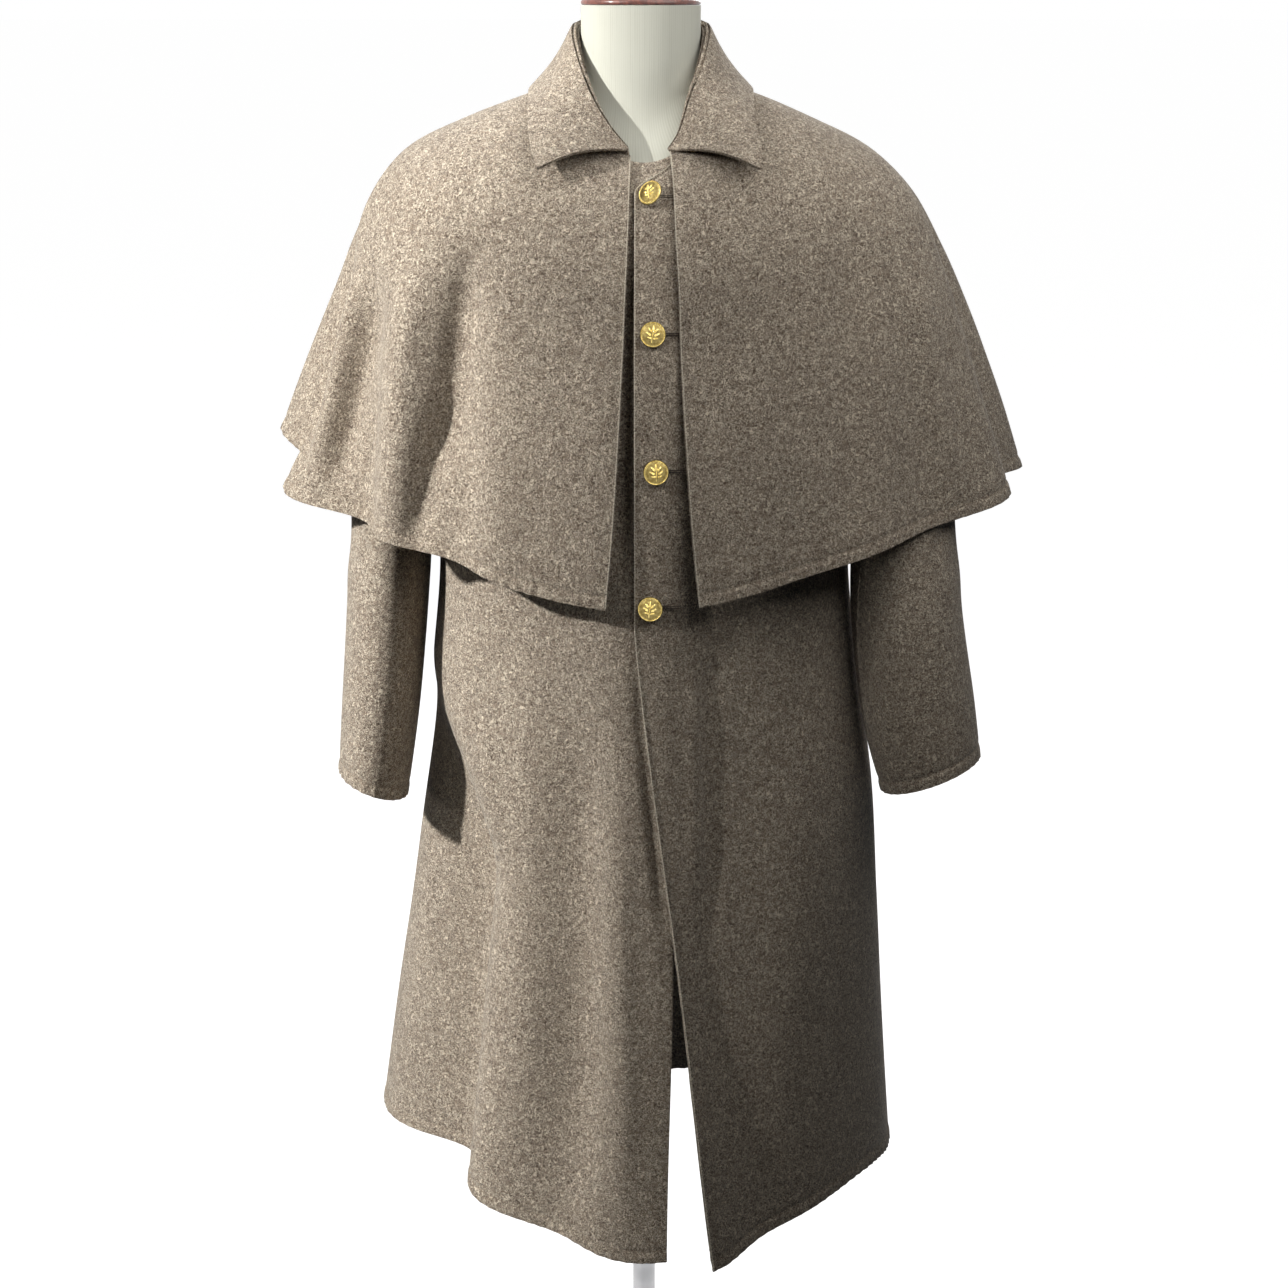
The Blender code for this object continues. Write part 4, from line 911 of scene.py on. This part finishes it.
CAPE_FOLDS = (
    ("right", 1.5, 4.0, 31.0, 31.0, 13.0, 18.0, -0.016, 1.0, -0.004),
    ("left", 1.5, 4.0, 27.0, 27.0, 11.0, 20.0, -0.017, 1.0, -0.004),
    ("right", 2.6, 4.6, 50.0, 53.0, 7.0, 5.0, -0.030, 1.0, 0.0),
    ("right", 3.0, 6.0, 75.0, 71.0, 6.0, 5.5, -0.047, 1.0, 0.0),
    ("right", 2.6, 4.5, 92.0, 90.5, 4.0, 4.0, -0.032, 1.0, 0.01),
    ("right", 3.0, 5.5, 101.0, 101.0, 6.0, 9.0, 0.013, 1.0, 0.042),
    ("right", 3.5, 5.0, 122.0, 122.0, 9.0, 9.0, -0.030, 1.0, 0.0),
    ("right", 3.5, 5.0, 143.0, 143.0, 9.0, 9.0, 0.014, 1.0, 0.0),
    ("right", 3.5, 5.0, 164.0, 164.0, 9.0, 9.0, -0.020, 1.0, 0.0),
    ("left", 3.0, 6.0, 46.0, 46.0, 8.0, 8.0, -0.010, 1.0, 0.0),
    ("left", 3.0, 6.0, 70.0, 68.0, 8.0, 6.0, -0.028, 1.0, 0.0),
    ("left", 2.0, 3.5, 91.0, 90.0, 4.5, 4.0, -0.026, 1.0, 0.0),
    ("left", 2.6, 5.5, 99.0, 99.0, 6.0, 9.0, 0.022, 1.0, 0.0),
    ("left", 3.5, 5.0, 124.0, 124.0, 9.0, 9.0, -0.028, 1.0, 0.0),
    ("left", 3.5, 5.0, 148.0, 148.0, 10.0, 10.0, 0.016, 1.0, 0.0),
)
CAPE_RIGHT_EDGE_AT_NECK, CAPE_RIGHT_EDGE_AT_HEM = -13 * MM, -37 * MM
CAPE_LEFT_EDGE_AT_NECK, CAPE_LEFT_EDGE_AT_HEM = 27 * MM, 55 * MM
CAPE_PULLED_TO, CAPE_EDGE_CURVE = 45.0, 1.8
CAPE_COLUMN_ANGLES, CAPE_COLUMN_COUNTS = (0.0, 45.0, 106.0, 180.0), (0, 70, 180, 266)
CAPE_ROWS, CAPE_HEM_ROWS, CAPE_HEM_SECTIONS, CAPE_SIDES_BLEND = 62, 12, 0.4, 0.04
CAPE_FRONT_CREASES = (
    (-0.159, 1.350, -0.189, 1.120, 0.002, 0.0115, -0.0125),
    (-0.184, 1.200, -0.228, 1.030, 0.0, 0.0115, -0.0105),
    (-0.212, 1.345, -0.246, 1.040, 0.002, 0.0120, 0.0105),
    (-0.133, 1.330, -0.147, 1.010, 0.002, 0.0150, 0.0040),
    (-0.250, 1.320, -0.306, 1.090, 0.0, 0.0105, -0.0120),
    (-0.270, 1.320, -0.326, 1.080, 0.0, 0.0085, 0.0100),
    (-0.281, 1.350, -0.344, 1.100, 0.0, 0.0070, -0.0120),
    (-0.060, 1.340, -0.062, 1.020, -0.003, 0.0140, -0.0024),
    (0.192, 1.385, 0.198, 1.050, 0.003, 0.0150, -0.0065),
    (0.120, 1.320, 0.140, 1.080, 0.005, 0.0160, 0.0020),
    (0.255, 1.345, 0.306, 1.060, 0.003, 0.0110, 0.0065),
)
CAPE_BACK_CREASES = (
    (-0.050, 1.360, -0.070, 1.120, 0.004, 0.014, -0.0020),
    (0.060, 1.350, 0.085, 1.110, -0.004, 0.014, 0.0018),
    (0.190, 1.320, 0.215, 1.140, 0.004, 0.012, -0.0020),
    (-0.185, 1.330, -0.205, 1.130, 0.004, 0.012, 0.0018),
)


def plain_cape_point(angle, section):
    return garment_point(CAPE_SECTIONS, CAPE_FOLDS, angle, section)


def cape_point(angle, section):
    """The cape lies on the coat's shoulders, so there it is moved out by its ease."""
    plain = plain_cape_point(angle, section)
    ease = CAPE_EASE + LAP_STEP * lap_share(plain) * (plain[..., 0] > 0)
    ease = ease * (1.0 - smooth((section - SHOULDER_TIP) / (CAPE_EASE_ENDS - SHOULDER_TIP)))
    return plain + ease[..., None] * normals_of(plain_cape_point, angle, section)


def cape_front_angle(section, at_neck, at_hem):
    share = (section / CAPE_HEM) ** CAPE_EDGE_CURVE
    return edge_angle(CAPE_SECTIONS, section, at_neck + (at_hem - at_neck) * share)


def cape_grid():
    """The cape's outer points, from the right front edge round the back to the left front one."""
    hem_from = CAPE_HEM - CAPE_HEM_SECTIONS
    upper, turned = np.linspace(0.0, hem_from, CAPE_ROWS), np.linspace(hem_from, CAPE_HEM, CAPE_HEM_ROWS)
    sections = np.concatenate([upper[:-1], turned])[:, None]
    numbers = np.arange(CAPE_COLUMN_COUNTS[-1] + 1)
    base_angle = np.interp(numbers, CAPE_COLUMN_COUNTS, CAPE_COLUMN_ANGLES)
    left_start = cape_front_angle(sections, CAPE_LEFT_EDGE_AT_NECK, CAPE_LEFT_EDGE_AT_HEM)
    right_start = -cape_front_angle(sections, CAPE_RIGHT_EDGE_AT_NECK, CAPE_RIGHT_EDGE_AT_HEM)
    pulled = np.clip(1.0 - base_angle / CAPE_PULLED_TO, 0.0, 1.0)
    left = base_angle + left_start * pulled
    right = base_angle + right_start * pulled
    angles = np.concatenate([left, 360.0 - right[:, -2::-1]], axis=1)
    return cape_point(angles, np.repeat(sections, angles.shape[1], axis=1))


cape_points = cape_grid()
cape_x, cape_y, cape_z = np.moveaxis(cape_points, -1, 0)
in_front = smooth(0.5 - cape_y / CAPE_SIDES_BLEND)
cape_lift = in_front * crease_height(cape_x, cape_z, CAPE_FRONT_CREASES)
cape_lift += (1 - in_front) * crease_height(cape_x, cape_z, CAPE_BACK_CREASES)
cape_points = hemmed(moved_out(cape_points, cape_lift))
cape_points = far_edge(edged(near_edge(cape_points)))
cape_points = near_edge(edged(far_edge(cape_points)))
cape = make_cloth("coat_cape", cape_points, "cape")

# Buttons
# Four stamped brass buttons: a dome with a raised rim and a plain spray of leaves in relief,
# gilt on the high parts and dark between them. Each stands on its shank on the left front.
BUTTON_HEIGHTS = (1.383, 1.260, 1.133, 1.002)
BUTTON_SIDES = (7.5 * MM, 8.0 * MM, 10.5 * MM, 6.0 * MM)
BUTTON_TURNS = (9.0, -6.0, 4.0, -3.0)
# How many degrees each button tilts towards the right front, and how far it is pulled off its seat.
BUTTON_TILTS, BUTTON_PULLED = (31.0, 4.0, 0.0, 12.0), (3.9 * MM, 0.0, 0.0, 1.0 * MM)
BUTTON_RADIUS, BUTTON_RIM, BUTTON_DOME = 12 * MM, 1.4 * MM, 5.0 * MM
SHANK_RADIUS, SHANK_LENGTH = 2.2 * MM, 2.2 * MM
BUTTON_STEPS, BUTTON_RINGS = 144, 60
RELIEF, RIM_AT, RIM_WIDTH, BEADS_AT, BEADS_WIDTH, BEADS = 1.0 * MM, 0.93, 0.035, 0.84, 0.02, 40
DOME_POWER, THREAD_ROOM, SEAT_ROUNDS, SEAT_STEP = 2.2, 1.5 * SEAM_GAP, 12, 8.0
GILT = (0.90, 0.72, 0.27, 1.0)
GILT_WORN = (0.56, 0.41, 0.12, 1.0)
BRASS_DARK = (0.050, 0.028, 0.010, 1.0)
# Leaves of the spray, in button radii: where each one's middle is, which way it points in degrees
# from upright, half its length and half its width.
LEAVES = (
    (0.00, 0.47, 0.0, 0.25, 0.10),
    (-0.24, 0.33, -42.0, 0.24, 0.09),
    (0.25, 0.31, 44.0, 0.24, 0.09),
    (-0.33, 0.02, -62.0, 0.25, 0.09),
    (0.33, 0.00, 60.0, 0.25, 0.09),
    (-0.25, -0.28, -78.0, 0.20, 0.08),
    (0.25, -0.30, 76.0, 0.20, 0.08),
)


def leaf_spray(x, y):
    """Height of the spray, 0 to 1: a bowed stem, and leaves that are half ovals with a vein."""
    stem = np.exp(-(((x - 0.04 * np.sin(3.0 * y)) / 0.035) ** 2)) * smooth((0.42 - y) / 0.2)
    height = 0.7 * stem * smooth((y + 0.72) / 0.15)
    for x_middle, y_middle, tilt, length, width in LEAVES:
        lean = math.radians(tilt)
        along = (x - x_middle) * math.sin(lean) + (y - y_middle) * math.cos(lean)
        across = (x - x_middle) * math.cos(lean) - (y - y_middle) * math.sin(lean)
        swell = 1.0 - (along / length) ** 2 - (across / width * (1.0 + 0.35 * along / length)) ** 2
        vein = 1.0 - 0.45 * np.exp(-((across / 0.018) ** 2))
        height = np.maximum(height, np.sqrt(np.clip(swell, 0.0, None)) * vein)
    return height


def button_shape():
    """Points, faces and relief of a button that stands up +Z: z = dome (1 - r^power) plus the
    greatest of spray, rim and beads, then the back, the shank and its foot."""
    share = np.linspace(0.0, 1.0, BUTTON_RINGS + 1)[1:, None]
    turn = 2 * np.pi * np.arange(BUTTON_STEPS) / BUTTON_STEPS
    x, y = share * np.cos(turn), share * np.sin(turn)
    spray = leaf_spray(x, y) * smooth((BEADS_AT - share) / 0.06)
    rim = np.exp(-(((share - RIM_AT) / RIM_WIDTH) ** 2)) + 0 * turn
    beads = np.exp(-(((share - BEADS_AT) / BEADS_WIDTH) ** 2)) * (0.25 + 0.25 * np.cos(BEADS * turn))
    relief = np.maximum(np.maximum(spray, rim), beads)
    dome = BUTTON_RIM + (BUTTON_DOME - BUTTON_RIM) * (1.0 - share**DOME_POWER)
    height = SHANK_LENGTH + dome + RELIEF * relief
    face = np.stack([BUTTON_RADIUS * x, BUTTON_RADIUS * y, height], axis=-1)
    back = softened((
        (BUTTON_RADIUS, SHANK_LENGTH + BUTTON_RIM), (BUTTON_RADIUS, SHANK_LENGTH + 0.5 * MM),
        (0.92 * BUTTON_RADIUS, SHANK_LENGTH), (SHANK_RADIUS, SHANK_LENGTH), (SHANK_RADIUS, 0.0),
        (0.0, 0.0),
    ), 0.4 * MM)[1:-1]
    rings = np.concatenate([face, turned_rings(back, BUTTON_STEPS)])
    points, faces = closed_rings(rings, height[0].mean(), 0.0)
    plain = np.zeros(len(points) - relief.size - 2)
    return points, faces, np.concatenate([relief.reshape(-1), plain, [relief[0].mean(), 0.0]])


def gilt_finish():
    """Gilt brass: bright on the relief, rubbed on the dome, and dark where polish stays."""
    recipe = Recipe("gilt brass", metallic=1.0)
    relief = recipe.node("ShaderNodeAttribute", {"attribute_name": "relief"}, output=2)
    place = recipe.place()
    rubbed = recipe.noise(place, 2.5 * MM, 3.0).between(0.4, 0.65)
    grime = relief.between(0.40, 0.06) * (0.50 + 0.4 * recipe.noise(place, 1.2 * MM))
    colour = recipe.blend(rubbed, GILT, GILT_WORN)
    recipe.shine(base_color=recipe.blend(grime, colour, BRASS_DARK), roughness=0.2 + 0.35 * grime)
    recipe.raised(recipe.noise(place, 0.5 * MM), 0.05 * MM, 0.4)
    return recipe.material


def button_seat(height, offset):
    """Where a button stands on the left front, and the outward normal there."""
    section = np.interp(-height, [-row[5] for row in BODY_SECTIONS], np.arange(len(BODY_SECTIONS)))
    for _ in range(SEAT_ROUNDS):
        angle = edge_angle(BODY_SECTIONS, section, offset)
        section += (left_front_point(angle, section)[..., 2] - height) * SEAT_STEP
    angle, section = np.atleast_1d(angle), np.atleast_1d(section)
    return left_front_point(angle, section)[0], normals_of(left_front_point, angle, section)[0]


gilt = gilt_finish()
button_points, button_faces, button_relief = button_shape()
button_seats = []
button_table = zip(BUTTON_HEIGHTS, BUTTON_SIDES, BUTTON_TURNS, BUTTON_TILTS, BUTTON_PULLED)
for number, (height, offset, lean, tilt, pulled_out) in enumerate(button_table, 1):
    seat, normal = button_seat(height, offset)
    right = unit(np.cross([0.0, 0.0, 1.0], normal))
    up = np.cross(normal, right)
    lean, tilt = math.radians(lean), math.radians(tilt)
    facing = math.cos(tilt) * normal - math.sin(tilt) * right
    tilted_right = math.cos(tilt) * right + math.sin(tilt) * normal
    turned_right = math.cos(lean) * tilted_right + math.sin(lean) * up
    turned_up = math.cos(lean) * up - math.sin(lean) * tilted_right
    axes = np.stack([turned_right, turned_up, facing])
    placed = button_points @ axes + seat + (THREAD_ROOM + pulled_out) * normal
    button = make_piece(f"brass_button_{number}", placed, button_faces, gilt, "button_brass")
    layer = button.data.attributes.new("relief", "FLOAT", "POINT")
    layer.data.foreach_set("value", button_relief.astype(np.float32))
    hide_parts(f"button_{number}")
    button_seats.append((seat, normal, right))

# Sewing
# Hems are turned up and sewn through, the front edges are whipped over with pale cream-coloured
# thread whose colour paints a highlight along each edge, and each buttonhole is a slit bound with
# dark thread. Each stitch is a small spindle half in the cloth.
THREAD = (0.36, 0.29, 0.21, 1.0)
# Pale edge thread: its colour is a painted highlight along the lit edges of the fronts and the cape.
EDGE_HIGHLIGHT_THREAD = (0.82, 0.74, 0.61, 1.0)
DARK_THREAD = (0.040, 0.028, 0.020, 1.0)
STITCH_SIDES, STITCH_RINGS = 6, 5
HEM_STITCH = {"pitch": 5.2 * MM, "length": 2.6 * MM, "thickness": 0.38 * MM}
EDGE_STITCH = {"pitch": 2.9 * MM, "length": 2.7 * MM, "thickness": 0.65 * MM}
EDGE_SEWN = 0.8 * MM
BUTTONHOLE_LENGTH, BUTTONHOLE_WIDTH, SLIT_HALF_WIDTH = 29 * MM, 2.6 * MM, 0.25 * MM
BAR_PITCH, BAR_THICKNESS = 0.8 * MM, 0.36 * MM


def thread_finish(name, colour):
    """Twisted sewing thread: fine slanting plies."""
    recipe = Recipe(name, roughness=0.75, specular_ior_level=0.3)
    place = recipe.place()
    ply = recipe.noise(place, 0.4 * MM)
    dark = (colour[0] * 0.55, colour[1] * 0.55, colour[2] * 0.55, 1.0)
    recipe.shine(base_color=recipe.blend(ply.between(0.4, 0.6), dark, colour))
    recipe.raised(ply, 0.1 * MM)
    return recipe.material


def spindles(heads, tails, ups, thickness):
    """Points and faces of stitches from heads to tails. A stitch arches out of the cloth as
    sin(pi s), and its radius is thickness times a rounded end-to-end profile."""
    s = np.linspace(0.0, 1.0, STITCH_RINGS)
    turn = 2 * np.pi * np.arange(STITCH_SIDES) / STITCH_SIDES
    run = tails - heads
    across = unit(np.cross(run, ups))
    arch = thickness * (np.sin(np.pi * s) * 1.3 - 0.5)
    middle = heads[:, None] + run[:, None] * s[:, None] + ups[:, None] * arch[:, None]
    radius = thickness * np.sqrt(np.sin(np.pi * (0.08 + 0.84 * s)))
    ring = radius[:, None, None] * (
        np.cos(turn)[:, None] * across[:, None, None] + np.sin(turn)[:, None] * ups[:, None, None]
    )
    points = middle[:, :, None] + ring
    sides = grid_quads(STITCH_RINGS, STITCH_SIDES, True)[2][:, ::-1]
    each = STITCH_RINGS * STITCH_SIDES
    starts = np.arange(len(heads)) * each
    faces = (sides[None] + starts[:, None, None]).reshape(-1, 4).tolist()
    near = np.arange(STITCH_SIDES)
    faces += (near[None] + starts[:, None]).tolist()
    faces += ((each - 1 - near)[None] + starts[:, None]).tolist()
    return points.reshape(-1, 3), faces


def joined(groups):
    """Several sets of points and faces as one."""
    points, faces, count = [], [], 0
    for more_points, more_faces in groups:
        faces += [[corner + count for corner in face] for face in more_faces]
        points.append(more_points)
        count += len(more_points)
    return np.concatenate(points), faces


def running_stitches(line, normals, pitch, length, thickness):
    """Stitches along a line of points, one every pitch."""
    reached = lengths_along(line)
    middles = np.arange(pitch, reached[-1] - pitch / 2, pitch)

    def read(values, where):
        return np.stack([np.interp(where, reached, values[:, k]) for k in range(3)], axis=1)

    heads, tails = read(line, middles - length / 2), read(line, middles + length / 2)
    return spindles(heads, tails, read(normals, middles), thickness)


def line_above_hem(points, distance):
    """The line on a grid that runs a distance above its last row, and the normals along it."""
    above = cloth_places(points)[..., 1]
    above = above - above[-1:]
    lower = (above > distance).sum(axis=0)
    columns = np.arange(points.shape[1])
    high, low = above[lower - 1, columns], above[lower, columns]
    share = ((high - distance) / (high - low))[:, None]
    normals = grid_normals(points)
    line = points[lower - 1, columns] * (1 - share) + points[lower, columns] * share
    return line, normals[lower, columns]


def buttonhole(seat, normal, right):
    """A slit from the button's middle to the wearer's left, bound with stitches square to it."""
    middles = np.arange(0.0, BUTTONHOLE_LENGTH, BAR_PITCH)[:, None]
    groups = []
    for side in (-1.0, 1.0):
        edge = np.cross(normal, right) * side
        heads = seat + middles * right + SLIT_HALF_WIDTH * edge
        tails = heads + BUTTONHOLE_WIDTH / 2 * edge
        groups.append(spindles(heads, tails, normal + 0 * middles, BAR_THICKNESS))
    return joined(groups)


def sewn_along(grids, distance, stitch):
    return [running_stitches(*line_above_hem(grid, distance), **stitch) for grid in grids]


hems = sewn_along((
    front_left_points, front_right_points, back_left_points, back_right_points, cape_points,
    sleeve_rings["left"], sleeve_rings["right"],
), HEM_TURNED, HEM_STITCH)
# Close-set pale stitches along the left front's and the cape's edges paint a highlight line there.
edges = sewn_along((
    near_edge(front_left_points), near_edge(cape_points), far_edge(cape_points),
), EDGE_SEWN, EDGE_STITCH)
holes = [buttonhole(*seat) for seat in button_seats]
for name, groups, thread_name, colour in (
    ("hem_stitches", hems, "wool-coloured thread", THREAD),
    # The edge stitches' pale thread is a painted highlight.
    ("edge_highlight_stitches", edges, "edge highlight thread", EDGE_HIGHLIGHT_THREAD),
    ("buttonhole_stitches", holes, "dark thread", DARK_THREAD),
):
    make_piece(name, *joined(groups), thread_finish(thread_name, colour), "coat_wool")

# Studio: floor, lights and camera
# A plain pale floor, a soft key light from the left whose flap keeps it off the coat's other half,
# a weak sun on the same side, three small lamps above the neck, one behind, and a camera.
KEY_SIDE, KEY_HEIGHT, KEY_DISTANCE = 63.5, 30.0, 3.2
KEY_POWER, KEY_RADIUS, KEY_HALF_CONE, KEY_BLEND = 650.0, 0.08, 78.0, 0.02
FLAP_TOP, FLAP_LOW = (-0.008, -0.17, 1.0), (0.074, -0.21, 0.30)
SUN_SIDE, SUN_HEIGHT, SUN_STRENGTH, SUN_SOFTNESS = 70.0, 20.0, 0.3, 12.0
# Soft lamps: the place, the power in watts and the width of each.
LAMPS = (
    ("neck lamp", (0.50, -0.55, 1.92), 6.3, 0.9),
    ("top lamp", (0.0, 0.1, 2.3), 3.0, 0.8),
    ("left lamp", (-0.60, -0.80, 1.95), 2.6, 0.5),
    ("back lamp", (0.5, 2.9, 2.3), 60.0, 1.4),
)
LAMPS_AIM = (0.0, 0.0, 1.4)
WARM_WHITE = (1.0, 0.985, 0.955)
FLOOR_SIZE = 400.0
CAMERA_DISTANCE, CAMERA_HEIGHT, CAMERA_TILT = 2.40, 1.56, 14.9
FOCAL_PIXELS, FRAME_PIXELS = 2423.0, 1288.0

corners = np.array([[-1.0, -1.0, 0.0], [1.0, -1.0, 0.0], [1.0, 1.0, 0.0], [-1.0, 1.0, 0.0]])
floor_mesh = bpy.data.meshes.new("floor")
floor_mesh.from_pydata((corners * FLOOR_SIZE / 2).tolist(), [], [(0, 1, 2, 3)])
floor = bpy.data.objects.new("floor", floor_mesh)
bpy.context.scene.collection.objects.link(floor)
paper = Recipe(
    "white paper", base_color=(0.25, 0.25, 0.25, 1.0), roughness=0.9, specular_ior_level=0.0,
    emission_color=(1.0, 1.0, 1.0, 1.0), emission_strength=0.985,
)
floor_mesh.materials.append(paper.material)
floor.visible_diffuse = False


def lamp(name, kind, strength, place, direction):
    """A light at a place that shines along a direction."""
    light = bpy.data.lights.new(name, kind)
    light.energy = strength
    light.color = WARM_WHITE
    holder = bpy.data.objects.new(name, light)
    holder.location = place
    holder.rotation_euler = Vector(direction).to_track_quat("-Z", "Y").to_euler()
    bpy.context.scene.collection.objects.link(holder)
    return light


def ray_from(side, height):
    """The direction of light that comes from so many degrees to the left and above."""
    side, height = math.radians(side), math.radians(height)
    level = math.cos(height)
    return Vector((math.sin(side) * level, math.cos(side) * level, -math.sin(height)))


# The key's cone is turned to the left by its own half angle, so that its edge lies along the lap
# like the shadow of a flap.
key_place = Vector(FLAP_TOP) - KEY_DISTANCE * ray_from(KEY_SIDE, KEY_HEIGHT)
edge_ray = (Vector(FLAP_TOP) - key_place).normalized()
away = edge_ray.cross(Vector(FLAP_LOW) - Vector(FLAP_TOP)).normalized()
away = -away if away.x > 0 else away
half_cone = math.radians(KEY_HALF_CONE)
key_ray = math.cos(half_cone) * edge_ray + math.sin(half_cone) * away
key = lamp("key light", "SPOT", KEY_POWER, key_place, key_ray)
key.spot_size, key.spot_blend, key.shadow_soft_size = 2 * half_cone, KEY_BLEND, KEY_RADIUS
sun = lamp("weak sun", "SUN", SUN_STRENGTH, (0.0, 0.0, 3.0), ray_from(SUN_SIDE, SUN_HEIGHT))
sun.angle = math.radians(SUN_SOFTNESS)
for name, place, power, size in LAMPS:
    lamp(name, "AREA", power, place, Vector(LAMPS_AIM) - Vector(place)).size = size
world = bpy.data.worlds.new("studio walls")
world.use_nodes = True
world.node_tree.nodes["Background"].inputs["Color"].default_value = (1.0, 1.0, 1.0, 1.0)
world.cycles_visibility.diffuse = False
bpy.context.scene.world = world
bpy.context.scene.view_settings.view_transform = "Standard"

lens = bpy.data.cameras.new("camera")
lens.sensor_width = 36.0
lens.lens = FOCAL_PIXELS / FRAME_PIXELS * lens.sensor_width
camera = bpy.data.objects.new("camera", lens)
camera.location = (0.0, -CAMERA_DISTANCE, CAMERA_HEIGHT)
camera.rotation_euler = (math.radians(90.0 - CAMERA_TILT), 0.0, 0.0)
bpy.context.scene.collection.objects.link(camera)
bpy.context.scene.camera = camera
